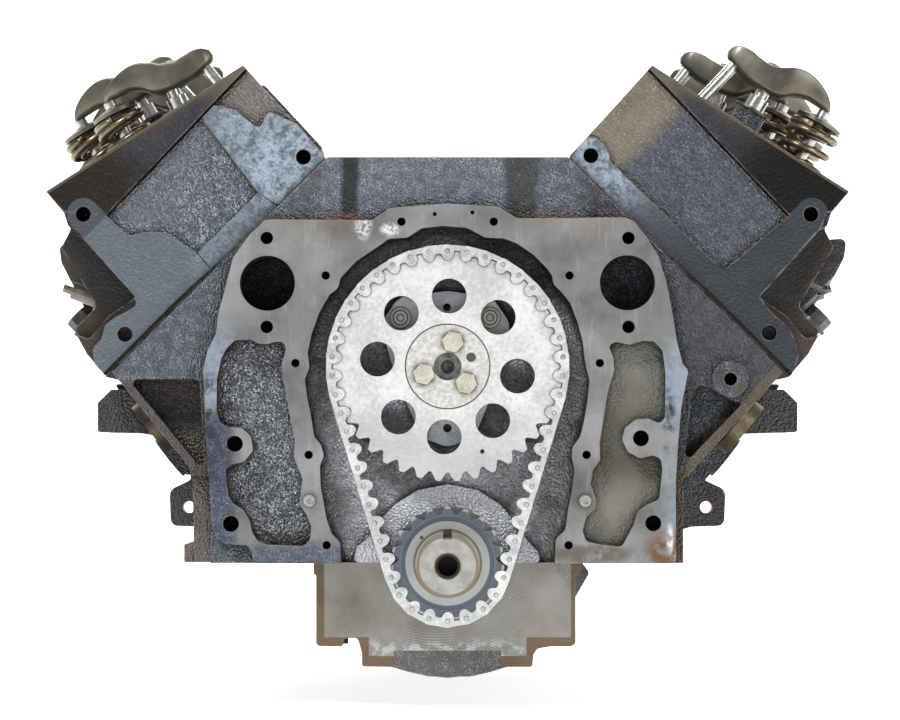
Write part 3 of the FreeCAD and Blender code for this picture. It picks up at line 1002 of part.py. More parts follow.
# valve springs: one closed tube per spring envelope
for side, lab in ((1, "left_valve_springs"), (-1, "right_valve_springs")):
    tubes = []
    for kind, ws in (("intake", IU), ("exhaust", EU)):
        k = ROCK[kind]
        tu, tv = to_uv(*k["T"])
        au, av = dir_uv(*k["va"])
        for w in ws:
            o_ = cyl("spring_o", (tu - au * 54.3, w, tv - av * 54.3), (au, 0, av), "sizes.spring_outer_diameter / 2", 42.8)
            i_ = cyl("spring_i", (tu - au * 56, w, tv - av * 56), (au, 0, av), "sizes.spring_inner_diameter / 2", 48.0)
            tubes.append(cut("spring", o_, [i_]))
    arrayed("spring_set", group("spring_master", tubes), lab, (side,))

# ------------------------------------------------ valves, rockers, pushrods
ROCK_OUT = [(-34, 0.6, 2), (-35.5, 5.5, 3), (-31, 10.8, 4), (-22, 11.2, 6), (-12, 7.8, 6), (-3, 5.8, 6), (6, 8.6, 6), (16, 12.8, 8), (27, 12.6, 8),
            (37, 9.4, 8), (46, 4.9, 6), (51.8, 0.7, 2), (51.1, -0.4, 0.4), (50.2, 0.2, 0.3), (49.4, 2.4, 0.4), (47.6, 1.5), (46, 0.85), (44.5, 0.57), (43.3, 0.5),
            (42.1, 0.57), (40.6, 0.85), (39, 1.5), (37.2, 2.4, 1), (32, 3.4, 4), (22, 4.2, 5), (14.5, -2.0, 4), (8.0, -11.4, 4),
            (2.5, -13.6, 4), (-5, -13.6, 4), (-11, -8.0, 3), (-16.5, 0.8, 3)]
ROCK_IN = [(-16, 6.6, 1), (-13, -1.5, 2), (-8, -9.0, 3), (6, -10.2, 3), (12.5, 0.5, 4), (22, 8.0, 4), (33, 7.4, 3), (36, 9.6, 1), (36, 30), (-16, 30)]
SWEEP = [0.0, 1.8, 3.6, 5.4, 7.2]
for side, sname in ((1, "left"), (-1, "right")):
    for kind in ("intake", "exhaust"):
        k = ROCK[kind]
        kr = math.cos(math.acos(max(-1, min(1, k["pa"][0] * k["ez"][0] + k["pa"][1] * k["ez"][1])))) / 25.4
        k["hinge"] = kr
        ys = valve_y(side, kind)
        # rocker master in its own frame (origin at the fulcrum centre)
        out = prism("rocker_shell", ROCK_OUT, -11.4, 11.4)
        inn = prism("rocker_well", ROCK_IN, -9.25, 9.25)
        tools = [inn, cyl("rocker_seat", (0, -9.3, 0), (0, 1, 0), "sizes.fulcrum_diameter / 2 + 0.35", 18.6),
                 box("rocker_slot", -11, 11, -5.9, 5.9, -20, 6)]
        # relative path of the pushrod ball in the rocker frame
        ex, ez = k["ex"], k["ez"]
        for s_ in SWEEP:
            bx = k["P"][0] + k["pa"][0] * s_ - k["C"][0]
            bz = k["P"][1] + k["pa"][1] * s_ - k["C"][1]
            lx, lz = bx * ex[0] + bz * ex[1], bx * ez[0] + bz * ez[1]
            th = kr * s_
            # the pushrod end rises, so undo a turn that lifts -x: rotate local point by -th
            rx, rz = lx * math.cos(-th) - lz * math.sin(-th), lx * math.sin(-th) + lz * math.cos(-th)
            rx, rz = lx * math.cos(th) - lz * math.sin(th), lx * math.sin(th) + lz * math.cos(th)
            tools.append(ball("cup_clear", (rx, 0, rz), "sizes.pushrod_ball_diameter / 2 + 0.35"))
        rm = cut("rocker_master", out, tools)
        ls = []
        for d in ys:
            if side == 1:
                rot = Rotation(Vector(0, 1, 0), k["slope"])
            else:
                rot = Rotation(Vector(0, 1, 0), -k["slope"]).multiply(Rotation(Vector(0, 0, 1), 180))
            ls.append(link("rocker", rm, Placement(Vector(side * k["C"][0], yd(d), k["C"][1]), rot)))
        node(group("rocker_group", ls), "%s_%s_rockers" % (sname, kind))
        # valve with its stem along the valve axis, tip at its own origin
        vr = S(k["r"]) / 2
        ln = k["vlen"]
        st = S("stem_diameter") / 2
        prof = [(0, 0), (st - 0.5, 0), (st, -0.6), (st, -(ln - 32)), (st + 1.5, -(ln - 18)), (st + 6, -(ln - 8)), (vr - 2.2, -(ln - 2.6)),
                (vr, -(ln - 1.4)), (vr, -ln), (0, -ln)]
        vm = body_revolve("valve", prof)
        rprof = [(st + 0.1, -11.2), (12.6, -11.2), (16.5, -10.4), (16.5, -8.0), (12.0, -6.6), (8.5, -5.4), (st + 0.1, -5.4)]
        tm = body_revolve("retainer", rprof)
        vax = Rotation(Vector(0, 1, 0), side * k["tilt"])
        vl, tl, pl_, ll = [], [], [], []
        for d in ys:
            pos = Placement(Vector(side * k["T"][0], yd(d), k["T"][1]), vax)
            vl.append(link("valve_in", vm, pos))
            tl.append(link("retainer_in", tm, pos))
            pa = k["pa"]
            pdn = (side * pa[0], 0, pa[1])
            at = lambda q: (side * pa[0] * q, yd(d), CAMZ + pa[1] * q)
            rod = fuse("pushrod", [cyl("pushrod_tube", at(69.5), pdn, "sizes.pushrod_diameter / 2", k["pr"] - 69.5),
                                   ball("pushrod_ball", at(k["pr"]), "sizes.pushrod_ball_diameter / 2")])
            lb = cyl("lifter_body", at(25.4), pdn, "sizes.lifter_diameter / 2", "sizes.lifter_length")
            lift = cut("lifter", lb, [cyl("lifter_cup", at(69.4), pdn, 7.0, 12.0)])
            pl_.append(rod)
            ll.append(lift)
        node(group("valve_group", vl), "%s_%s_valves" % (sname, kind))
        node(group("retainer_group", tl), "%s_%s_retainers" % (sname, kind))
        node(group("pushrod_group", pl_ + ll), "%s_%s_pushrods" % (sname, kind))

# -------------------------------------------- pistons, rods and their fittings
pistons, rings, wpins, rods, rcaps, rbolts, rshells = [], [], [], [], [], [], []
crown = body_revolve("piston_shell", [(0, 37.6), (52.6, 37.6), (53.7, 36.6), (53.7, 31.0), (50.0, 31.0), (50.0, 29.3), (53.7, 29.3), (53.7, 24.6),
                                      (50.0, 24.6), (50.0, 22.9), (53.7, 22.9), (53.7, 18.6), (49.6, 18.6), (49.6, 14.6), (53.7, 14.6), (53.7, -22),
                                      (48.5, -22), (47.0, 10), (44.0, 26), (0, 27)])
boss = fuse("pin_bosses", [cyl("pin_boss", (0, -47.5, 0), (0, 1, 0), 19.0, 33.5), cyl("pin_boss", (0, 14.0, 0), (0, 1, 0), 19.0, 33.5)])
pist_m = cut("piston_master", fuse("piston_blank", [crown, boss]), [cyl("pin_bore", (0, -60, 0), (0, 1, 0), "sizes.pin_diameter / 2 + 0.05", 120.0),
                                                                    box("skirt_slot", -34, 34, -60, -43, -30, -19), box("skirt_slot", -34, 34, 43, 60, -30, -19)])
ring_m = group("ring_master", [body_revolve("ring_top", [(50.2, 29.45), (53.85, 29.45), (53.85, 30.85), (50.2, 30.85)]),
                               body_revolve("ring_second", [(50.2, 23.05), (53.85, 23.05), (53.85, 24.45), (50.2, 24.45)]),
                               body_revolve("ring_oil", [(49.8, 14.75), (53.85, 14.75), (53.85, 18.45), (49.8, 18.45)])])
pin_m = cut("pin_master", cyl("wrist_pin", (0, -40, 0), (0, 1, 0), "sizes.pin_diameter / 2", 80.0), [cyl("wrist_pin_bore", (0, -42, 0), (0, 1, 0), 7.5, 84.0)])
# rod in its own frame: journal centre at the origin, wrist pin up +Z
RL = S("rod_length")
beam = prism("rod_beam", [(-17, 26), (-11.5, 52, 20), (-10, RL - 26, 10), (-14, RL - 12), (14, RL - 12), (10, RL - 26, 10), (11.5, 52, 20), (17, 26)], -8.5, 8.5)
big = prism("rod_big_end", [(-46, 0.02), (-46, 13, 4), (-36, 17, 8), (-30, 30, 10), (30, 30, 10), (36, 17, 8), (46, 13, 4), (46, 0.02)], -11.9, 11.9)
eye = cyl("rod_eye", (0, -12.5, RL), (0, 1, 0), 18.6, 25.0)
rod_m = cut("rod_master", fuse("rod_blank", [beam, big, eye]), [cyl("rod_bore", (0, -14, 0), (0, 1, 0), "sizes.rod_shell_diameter / 2 + 0.05", 28.0),
                                                               cyl("eye_bore", (0, -14, RL), (0, 1, 0), "sizes.pin_diameter / 2 + 0.05", 28.0),
                                                               box("web_f", -6.5, 6.5, -9, -3.4, 44, RL - 26), box("web_r", -6.5, 6.5, 3.4, 9, 44, RL - 26),
                                                               cyl("rod_bolt_hole", (38.2, 0, -1), (0, 0, 1), 4.6, 40.0), cyl("rod_bolt_hole", (-38.2, 0, -1), (0, 0, 1), 4.6, 40.0)])
rcap_m = cut("rod_cap_master", prism("rod_cap_blank", [(-46, -0.02), (-46, -12, 4), (-35, -16, 6), (-26, -31, 10), (-8, -36.5, 10), (8, -36.5, 10), (26, -31, 10), (35, -16, 6),
                                                       (46, -12, 4), (46, -0.02)], -11.9, 11.9),
             [cyl("cap_big_bore", (0, -14, 0), (0, 1, 0), "sizes.rod_shell_diameter / 2 + 0.05", 28.0),
              cyl("cap_bolt_bore", (38.2, 0, -40), (0, 0, 1), 4.6, 44.0), cyl("cap_bolt_bore", (-38.2, 0, -40), (0, 0, 1), 4.6, 44.0),
              cyl("nut_face", (38.2, 0, -50), (0, 0, 1), 8.4, 37.5), cyl("nut_face", (-38.2, 0, -50), (0, 0, 1), 8.4, 37.5)])
rb_l = []
for x in (-38.2, 38.2):
    rb_l.append(fuse("rod_bolt", [cyl("rod_bolt_shank", (x, 0, -14), (0, 0, 1), 4.5, 28.0), hexa("rod_bolt_nut", (x, 0, -21.2), (0, 0, 1), 13.0, 8.6, 30)]))
rbolt_m = group("rod_bolt_master", rb_l)
rsh_m = group("rod_shell_master", [half_ring("rod_shell", 0, 0, "sizes.rod_journal_diameter / 2 + 0.06", "sizes.rod_shell_diameter / 2", -11.5, 23.0, a) for a in (0, 180)])
for side in (1, -1):
    for i, d in enumerate(CYL[side]):
        a = math.radians(PIN_ANG[i])
        px, pz = S("crank_throw") * math.cos(a), S("crank_throw") * math.sin(a)
        along = (side * px + pz) / R2
        across = (side * px - pz) / R2
        wp = along + math.sqrt(RL ** 2 - across ** 2)
        wx, wz = side * wp / R2, wp / R2
        place_p = Placement(Vector(wx, yd(d), wz), Rotation(Vector(0, 1, 0), side * 45))
        ang = math.degrees(math.atan2(wx - px, wz - pz))
        place_r = Placement(Vector(px, yd(d), pz), Rotation(Vector(0, 1, 0), ang))
        pistons.append(link("piston", pist_m, place_p))
        rings.append(link("ring_pack", ring_m, place_p))
        wpins.append(link("wrist_pin_in", pin_m, place_p))
        rods.append(link("rod", rod_m, place_r))
        rcaps.append(link("rod_cap", rcap_m, place_r))
        rbolts.append(link("rod_bolt_pair", rbolt_m, place_r))
        rshells.append(link("rod_shell_pair", rsh_m, place_r))
for lst, lab in ((pistons, "pistons"), (rings, "piston_rings"), (wpins, "piston_pins"), (rods, "connecting_rods"), (rcaps, "rod_caps"),
                 (rbolts, "rod_bolts"), (rshells, "rod_bearing_shells")):
    node(group(lab + "_group", lst), lab)

# --------------------------------------------------- plugs, dowels, rear seal
dw = []
for x, z in DOWELS:
    dw.append(cut("cover_dowel", cyl("cover_dowel_o", (x, yd(-5), z), (0, 1, 0), 3.9, 16.0), [cyl("cover_dowel_i", (x, yd(-6), z), (0, 1, 0), 2.0, 4.0)]))
for sx in (1, -1):
    dw.append(fuse("bell_dowel", [cyl("bell_dowel_shank", (sx * 182.6, -16, 78), (0, 1, 0), 7.0, 16.5),
                                  cyl("bell_dowel_head", (sx * 182.6, 0, 78), (0, 1, 0), 7.8, 10.0)]))
node(group("dowels", dw), "dowel_pins")
cp = []
for sx in (1, -1):
    for d in CORE_D:
        b0 = (sx * (197.5 + 1.0 * wall_n[0]), yd(d), 94.6 + 1.0 * wall_n[1])
        i0 = (sx * (197.5 + 4.0 * wall_n[0]), yd(d), 94.6 + 4.0 * wall_n[1])
        ax = (sx * wall_n[0], 0, wall_n[1])
        cp.append(cut("core_plug", cyl("core_plug_o", b0, ax, "sizes.core_plug_diameter / 2", 8.5), [cyl("core_plug_i", i0, ax, "sizes.core_plug_diameter / 2 - 2.2", 12.0)]))
cp.append(cut("cam_plug", cyl("cam_plug_o", (0, -10, CAMZ), (0, 1, 0), 27.5, 8.0), [cyl("cam_plug_i", (0, -7, CAMZ), (0, 1, 0), 25.0, 10.0)]))
node(group("core_plug_set", cp), "core_plugs")
gp_ = []
for x, y, z, s in GAL:
    y0 = yd(33) if s > 0 else -1.0
    gp_.append(cut("gallery_plug", cyl("gallery_plug_o", (x, y0, z), (0, s, 0), 8.0, 10.0), [hexa("gallery_plug_i", (x, y0 - s * 0.5, z), (0, s, 0), 7.0, 6.0)]))
node(group("gallery_plug_set", gp_), "oil_gallery_plugs")
node(cut("seal_housing", cyl("seal_housing_o", (0, yd(560), 0), (0, 1, 0), 63.8, 14.6), [cyl("seal_housing_i", (0, yd(559), 0), (0, 1, 0), 58.6, 18.0)]), "rear_seal_housing")
node(cut("rear_seal", cyl("rear_seal_o", (0, yd(562), 0), (0, 1, 0), 58.4, 11.0), [cyl("rear_seal_i", (0, yd(561), 0), (0, 1, 0), "sizes.flange_diameter / 2 + 0.2", 14.0)]), "rear_main_seal")

doc.recompute()

# -------------------------------------------------------------------- checks
bad = []
for o in doc.Objects:
    if any(s in ("Invalid", "Error") for s in o.State):
        bad.append("%s %s" % (o.Name, o.State))
if bad:
    raise RuntimeError("objects failed: " + "; ".join(bad[:20]))
os.makedirs("parts", exist_ok=True)
labels = [o.Label for o in NODES]
if len(set(labels)) != len(labels) or len(labels) > 60:
    raise RuntimeError("labels: %d of %d" % (len(set(labels)), len(labels)))
for o in NODES:
    s = o.Shape
    if s.isNull() or not s.isValid() or not s.Solids:
        raise RuntimeError("bad shape " + o.Label)
for o in NODES:
    o.Shape.exportStep("parts/%s.step" % o.Label)
    print("%-36s solids %3d volume %12.1f" % (o.Label, len(o.Shape.Solids), o.Shape.Volume))
print("nodes", len(NODES))
for side in (1,):
    for kind in ("intake", "exhaust"):
        k = ROCK[kind]
        print(kind, "P", k["P"], "C", k["C"], "T", k["T"], "pa", k["pa"], "va", k["va"], "hinge", k["hinge"], "len", k["vlen"])
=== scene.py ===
import bpy, bmesh, math
from mathutils import Vector, Matrix, noise as mnoise


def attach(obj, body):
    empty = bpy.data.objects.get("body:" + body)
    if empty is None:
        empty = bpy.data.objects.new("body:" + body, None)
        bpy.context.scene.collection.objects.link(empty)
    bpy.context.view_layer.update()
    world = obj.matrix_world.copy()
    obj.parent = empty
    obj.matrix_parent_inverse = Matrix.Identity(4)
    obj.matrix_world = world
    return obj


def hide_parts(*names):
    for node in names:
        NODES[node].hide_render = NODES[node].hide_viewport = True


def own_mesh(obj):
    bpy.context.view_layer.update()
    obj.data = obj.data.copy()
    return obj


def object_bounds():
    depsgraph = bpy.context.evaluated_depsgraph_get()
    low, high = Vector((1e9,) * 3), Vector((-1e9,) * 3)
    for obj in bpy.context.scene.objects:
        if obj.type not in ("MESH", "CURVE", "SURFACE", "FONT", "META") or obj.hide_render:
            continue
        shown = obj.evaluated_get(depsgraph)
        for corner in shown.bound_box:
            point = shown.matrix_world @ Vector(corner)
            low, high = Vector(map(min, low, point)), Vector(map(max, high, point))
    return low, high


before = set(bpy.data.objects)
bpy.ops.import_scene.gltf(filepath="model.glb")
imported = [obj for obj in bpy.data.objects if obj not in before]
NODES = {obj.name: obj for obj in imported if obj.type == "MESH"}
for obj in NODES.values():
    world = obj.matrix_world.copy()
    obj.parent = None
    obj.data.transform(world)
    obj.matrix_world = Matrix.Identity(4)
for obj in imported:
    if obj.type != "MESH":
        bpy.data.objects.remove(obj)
lo0, hi0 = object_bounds()
LO0, HI0 = [float(v) for v in lo0], [float(v) for v in hi0]
L = 0.575
R2 = math.sqrt(2.0)
DK = 0.249
CAMZ = 0.13086


# ------------------------------------------------------------------ shader kit
class Mat:
    """Small wrapper that builds a node material term by term."""

    def __init__(self, name):
        self.m = bpy.data.materials.new(name)
        self.m.use_nodes = True
        self.t = self.m.node_tree
        self.t.nodes.clear()
        self.out = self.t.nodes.new("ShaderNodeOutputMaterial")
        self.b = self.t.nodes.new("ShaderNodeBsdfPrincipled")
        self.t.links.new(self.b.outputs[0], self.out.inputs[0])
        self.tc = self.t.nodes.new("ShaderNodeTexCoord")
        self.geo = self.t.nodes.new("ShaderNodeNewGeometry")
        self.P = self.tc.outputs["Object"]
        sp = self.t.nodes.new("ShaderNodeSeparateXYZ")
        self.t.links.new(self.P, sp.inputs[0])
        self.x, self.y, self.z = sp.outputs
        sn = self.t.nodes.new("ShaderNodeSeparateXYZ")
        self.t.links.new(self.geo.outputs["True Normal"], sn.inputs[0])
        self.nx, self.ny, self.nz = sn.outputs

    def put(self, sock, v):
        if isinstance(v, bpy.types.NodeSocket):
            self.t.links.new(v, sock)
        elif isinstance(v, (tuple, list)) and len(v) == 3 and sock.type == "RGBA":
            sock.default_value = (v[0], v[1], v[2], 1.0)
        else:
            sock.default_value = v

    def math(self, op, a, b=0.0, c=None, clamp=False):
        n = self.t.nodes.new("ShaderNodeMath")
        n.operation = op
        n.use_clamp = clamp
        self.put(n.inputs[0], a)
        self.put(n.inputs[1], b)
        if c is not None:
            self.put(n.inputs[2], c)
        return n.outputs[0]

    def add(self, a, b): return self.math("ADD", a, b)
    def sub(self, a, b): return self.math("SUBTRACT", a, b)
    def mul(self, a, b): return self.math("MULTIPLY", a, b)
    def inv(self, a): return self.math("SUBTRACT", 1.0, a)
    def gt(self, a, b): return self.math("GREATER_THAN", a, b)
    def lt(self, a, b): return self.math("LESS_THAN", a, b)
    def mx(self, a, b): return self.math("MAXIMUM", a, b)
    def mn(self, a, b): return self.math("MINIMUM", a, b)

    def allof(self, *a):
        r = a[0]
        for q in a[1:]:
            r = self.mul(r, q)
        return r

    def between(self, v, a, b):
        return self.mul(self.gt(v, a), self.lt(v, b))

    def near(self, v, c, e):
        return self.math("COMPARE", v, c, e)

    def smooth(self, v, a, b, lo=0.0, hi=1.0):
        n = self.t.nodes.new("ShaderNodeMapRange")
        n.interpolation_type = "SMOOTHSTEP"
        self.put(n.inputs["Value"], v)
        n.inputs["From Min"].default_value = a
        n.inputs["From Max"].default_value = b
        n.inputs["To Min"].default_value = lo
        n.inputs["To Max"].default_value = hi
        return n.outputs[0]

    def spot(self, a, b, ca, cb, ra, rb, soft=0.5):
        """Soft ellipse in two coordinates, 1 at its middle."""
        p = self.math("POWER", self.mul(self.sub(a, ca), 1.0 / ra), 2.0)
        q = self.math("POWER", self.mul(self.sub(b, cb), 1.0 / rb), 2.0)
        d = self.math("SQRT", self.add(p, q))
        return self.smooth(d, 1.0 - soft, 1.0 + soft, 1.0, 0.0)

    def noise(self, scale, detail=3.0, rough=0.55, vec=None, dist=0.0, stretch=None):
        n = self.t.nodes.new("ShaderNodeTexNoise")
        n.inputs["Scale"].default_value = scale
        n.inputs["Detail"].default_value = detail
        n.inputs["Roughness"].default_value = rough
        n.inputs["Distortion"].default_value = dist
        v = vec if vec is not None else self.P
        if stretch:
            mp = self.t.nodes.new("ShaderNodeMapping")
            mp.inputs["Scale"].default_value = stretch
            self.t.links.new(v, mp.inputs["Vector"])
            v = mp.outputs[0]
        self.t.links.new(v, n.inputs["Vector"])
        return n.outputs["Fac"]

    def voro(self, scale, feature="F1", vec=None):
        n = self.t.nodes.new("ShaderNodeTexVoronoi")
        n.feature = feature
        n.inputs["Scale"].default_value = scale
        self.t.links.new(vec if vec is not None else self.P, n.inputs["Vector"])
        return n.outputs["Distance"]

    def mix(self, f, a, b, mode="MIX"):
        n = self.t.nodes.new("ShaderNodeMix")
        n.data_type = "RGBA"
        n.blend_type = mode
        self.put(n.inputs[0], f)
        self.put(n.inputs[6], a)
        self.put(n.inputs[7], b)
        return n.outputs[2]

    def fmix(self, f, a, b):
        n = self.t.nodes.new("ShaderNodeMix")
        n.data_type = "FLOAT"
        self.put(n.inputs[0], f)
        self.put(n.inputs[2], a)
        self.put(n.inputs[3], b)
        return n.outputs[0]

    def ramp(self, f, stops, interp="LINEAR"):
        n = self.t.nodes.new("ShaderNodeValToRGB")
        n.color_ramp.interpolation = interp
        el = n.color_ramp.elements
        while len(el) > 1:
            el.remove(el[-1])
        el[0].position = stops[0][0]
        el[0].color = tuple(stops[0][1]) + (1.0,)
        for p, c in stops[1:]:
            e = el.new(p)
            e.color = tuple(c) + (1.0,)
        self.put(n.inputs[0], f)
        return n.outputs[0]

    def bump(self, h, strength, dist, normal=None):
        n = self.t.nodes.new("ShaderNodeBump")
        self.put(n.inputs["Strength"], strength)
        n.inputs["Distance"].default_value = dist
        self.put(n.inputs["Height"], h)
        if normal is not None:
            self.t.links.new(normal, n.inputs["Normal"])
        return n.outputs[0]

    def edge(self, radius=0.0012):
        """1 close to a sharp edge, 0 on open faces."""
        n = self.t.nodes.new("ShaderNodeBevel")
        n.samples = 4
        n.inputs["Radius"].default_value = radius
        d = self.t.nodes.new("ShaderNodeVectorMath")
        d.operation = "DOT_PRODUCT"
        self.t.links.new(n.outputs[0], d.inputs[0])
        self.t.links.new(self.geo.outputs["True Normal"], d.inputs[1])
        return self.smooth(d.outputs["Value"], 0.999, 0.90)

    def done(self, color, rough, metal, normal=None, spec=None):
        self.put(self.b.inputs["Base Color"], color)
        self.put(self.b.inputs["Roughness"], rough)
        self.put(self.b.inputs["Metallic"], metal)
        if normal is not None:
            self.t.links.new(normal, self.b.inputs["Normal"])
        if spec is not None:
            self.b.inputs["Specular IOR Level"].default_value = spec
        return self.m


def assign(node, mat):
    o = NODES[node]
    for s in o.material_slots:
        s.material = mat


def speckle(k, scale=560.0, lo=0.46, hi=0.12):
    """Fine grain of a sand-cast skin: light grains on a dark ground, partly real grain and partly painted glints."""
    v = k.voro(scale)
    dots = k.smooth(v, lo, hi)
    fine = k.smooth(k.noise(scale * 1.9, 1.0, 0.5), 0.42, 0.62)
    amount = k.smooth(k.noise(150.0, 3.0, 0.6), 0.34, 0.66, 0.25, 1.0)
    return k.mul(k.mx(dots, k.mul(fine, 0.55)), amount)


def crevice(k, col, grime_and_shade, dist=0.010, power=1.0, amount=0.8):
    """Painted shade in the corners of a casting, in the tone of old oil: ambient occlusion darkens the colour there.
    """
    n = k.t.nodes.new("ShaderNodeAmbientOcclusion")
    n.samples = 6
    n.inputs["Distance"].default_value = dist
    f = k.smooth(n.outputs["AO"], 0.92, 0.45)
    return k.mix(k.mul(f, amount), col, grime_and_shade)


# --------------------------------------------------------------- block casting
def mat_block():
    k = Mat("block_iron_look")
    d = k.mul(k.add(k.y, L), 1000.0)
    x, z = k.mul(k.x, 1000.0), k.mul(k.z, 1000.0)
    front = k.lt(k.ny, -0.8)
    big = k.noise(14.0, 4.0, 0.6)
    mid = k.noise(55.0, 4.0, 0.6)
    sp = speckle(k)
    sp2 = speckle(k, 430.0)
    edge = k.edge(0.0014)
    # cast skin
    cast = k.mix(sp, (0.028, 0.031, 0.038), (0.19, 0.21, 0.25))
    cast = k.mix(k.smooth(big, 0.48, 0.68), cast, (0.055, 0.056, 0.060))
    cast = k.mix(k.mul(k.smooth(mid, 0.56, 0.74), 0.55), cast, (0.085, 0.060, 0.038))
    # underside and outer flanks go brown with old oil
    outer = k.mul(k.smooth(k.math("ABSOLUTE", x), 165.0, 215.0), k.smooth(z, 150.0, 95.0))
    cast = k.mix(k.mul(outer, 0.55), cast, (0.048, 0.036, 0.026))
    # front wall beside the cover face: upper corners smooth dark slate with blue patches
    wall = k.mul(front, k.between(d, 8.5, 11.5))
    wc = k.mix(sp, (0.040, 0.044, 0.054), (0.25, 0.275, 0.32))
    wc = k.mix(k.mul(k.smooth(k.noise(26.0, 3.0), 0.50, 0.70), 0.6), wc, (0.060, 0.062, 0.070))
    # valley wall: two oil runs down it
    valley = k.mul(wall, k.mul(k.gt(z, 228.0), k.lt(k.math("ABSOLUTE", x), 84.0)))
    vc = k.mix(sp, (0.062, 0.067, 0.084), (0.31, 0.335, 0.40))
    run1 = k.mul(k.smooth(k.math("ABSOLUTE", k.add(k.sub(x, -65.0), k.mul(k.sub(mid, 0.5), 8.0))), 8.0, 3.5), 0.92)
    vc = k.mix(run1, vc, (0.003, 0.002, 0.002))
    run2 = k.mul(k.smooth(k.math("ABSOLUTE", k.add(k.sub(x, 49.0), k.mul(k.sub(mid, 0.5), 8.0))), 14.0, 8.0), 0.8)
    vc = k.mix(k.mul(k.smooth(x, 54.0, 66.0), 0.6), vc, k.mix(sp, (0.028, 0.031, 0.040), (0.235, 0.255, 0.310)))
    vc = k.mix(run2, vc, (0.016, 0.014, 0.011))
    rustv = k.mul(k.smooth(z, 236.0, 229.5), k.smooth(mid, 0.40, 0.60))
    vc = k.mix(k.mul(rustv, 0.6), vc, (0.26, 0.13, 0.055))
    wc = k.mix(k.mul(k.smooth(x, 84.0, 96.0), 0.75), wc, k.mix(sp2, (0.010, 0.011, 0.014), (0.115, 0.128, 0.160)))
    wc = k.mix(valley, wc, vc)
    # dark brown lower triangle shades
    low = k.mul(k.gt(k.math("ABSOLUTE", x), 159.0), k.lt(z, 122.0))
    wc = k.mix(k.mul(low, 0.75), wc, (0.050, 0.040, 0.032))
    wc = k.mix(k.mul(k.smooth(x, 140.0, 162.0), 0.65), wc, k.mix(sp, (0.024, 0.026, 0.031), (0.085, 0.092, 0.108)))
    col = k.mix(wall, cast, wc)
    # deep triangle floors
    tri = k.mul(front, k.between(d, 28.0, 42.0))
    tri = k.mul(tri, k.gt(k.math("ABSOLUTE", x), 155.0))
    tc = k.mix(mid, (0.062, 0.056, 0.054), (0.165, 0.150, 0.135))
    trr = k.mix(sp, (0.040, 0.042, 0.058), (0.42, 0.45, 0.56))
    trr = k.mix(k.smooth(k.sub(x, k.mul(z, 0.92)), 84.0, 96.0), trr, k.mix(mid, (0.018, 0.015, 0.013), (0.060, 0.046, 0.032)))
    col = k.mix(tri, col, k.mix(k.gt(x, 0.0), tc, trr))
    rib = k.mul(k.mul(wall, k.gt(x, 150.0)), k.gt(k.sub(k.sub(k.mul(x, 1.086), z), 0.0), 105.5))
    col = k.mix(rib, col, k.mix(mid, (0.036, 0.028, 0.018), (0.115, 0.090, 0.058)))
    # timing cavity floor
    cav = k.mul(k.mul(front, k.between(d, 22.8, 46.0)), k.lt(k.math("ABSOLUTE", x), 97.0))
    cc = k.mix(sp2, (0.30, 0.31, 0.33), (0.62, 0.63, 0.66))
    cc = k.mix(k.mul(k.smooth(k.noise(30.0, 4.0), 0.52, 0.66), 0.7), cc, (0.085, 0.078, 0.060))
    cc = k.mix(k.mul(k.smooth(z, 110.0, 200.0), 0.75), cc, (0.050, 0.052, 0.060))
    col = k.mix(cav, col, cc)
    boss = k.mul(front, k.between(d, 23.5, 24.6))
    col = k.mix(boss, col, k.mix(sp, (0.42, 0.43, 0.46), (0.72, 0.73, 0.76)))
    # pocket floors
    pl = k.mul(k.mul(front, k.between(d, 20.0, 23.5)), k.lt(x, -85.0))
    pc = k.mix(speckle(k, 500.0), (0.085, 0.090, 0.105), (0.80, 0.84, 0.90))
    pc = k.mix(k.mul(k.smooth(z, 26.0, 12.0), 0.75), pc, k.mix(sp, (0.05, 0.045, 0.035), (0.22, 0.18, 0.11)))
    col = k.mix(pl, col, pc)
    pr = k.mul(k.mul(front, k.between(d, 12.8, 15.2)), k.gt(x, 85.0))
    qc = k.mix(k.noise(520.0, 2.0, 0.7), (0.105, 0.102, 0.090), (0.245, 0.240, 0.215))
    qc = k.mix(k.mul(k.smooth(k.noise(38.0, 4.0), 0.50, 0.66), 0.7), qc, (0.150, 0.132, 0.098))
    qc = k.mix(k.mul(k.spot(x, z, 118.0, 60.0, 26.0, 18.0), 0.8), qc, (0.085, 0.075, 0.055))
    qc = k.mix(k.mul(k.smooth(z, 66.0, 44.0), 0.6), qc, k.mix(mid, (0.215, 0.205, 0.175), (0.285, 0.272, 0.232)))
    col = k.mix(pr, col, qc)
    # walls inside the pockets: painted shade, brown-black
    inwall = k.mul(k.mul(k.lt(k.math("ABSOLUTE", k.ny), 0.5), k.between(d, 0.8, 34.0)), k.lt(k.math("ABSOLUTE", x), 158.0))
    inwall = k.mul(inwall, k.lt(z, 226.0))
    iw = k.mix(mid, (0.022, 0.018, 0.014), (0.075, 0.056, 0.036))
    col = k.mix(inwall, col, iw)
    # milled cover face
    rim = k.mul(front, k.lt(d, 0.8))
    a = k.noise(22.0, 5.0, 0.6)
    b = k.noise(90.0, 4.0, 0.6)
    rc = k.ramp(a, [(0.30, (0.120, 0.120, 0.117)), (0.48, (0.205, 0.204, 0.200)), (0.66, (0.300, 0.304, 0.312))])
    rc = k.mix(k.mul(k.smooth(b, 0.50, 0.70), 0.5), rc, (0.205, 0.215, 0.235))
    streak = k.noise(60.0, 3.0, 0.6, stretch=(7.0, 1.0, 0.6))
    rc = k.mix(k.mul(k.smooth(streak, 0.55, 0.75), 0.35), rc, (0.42, 0.42, 0.41))
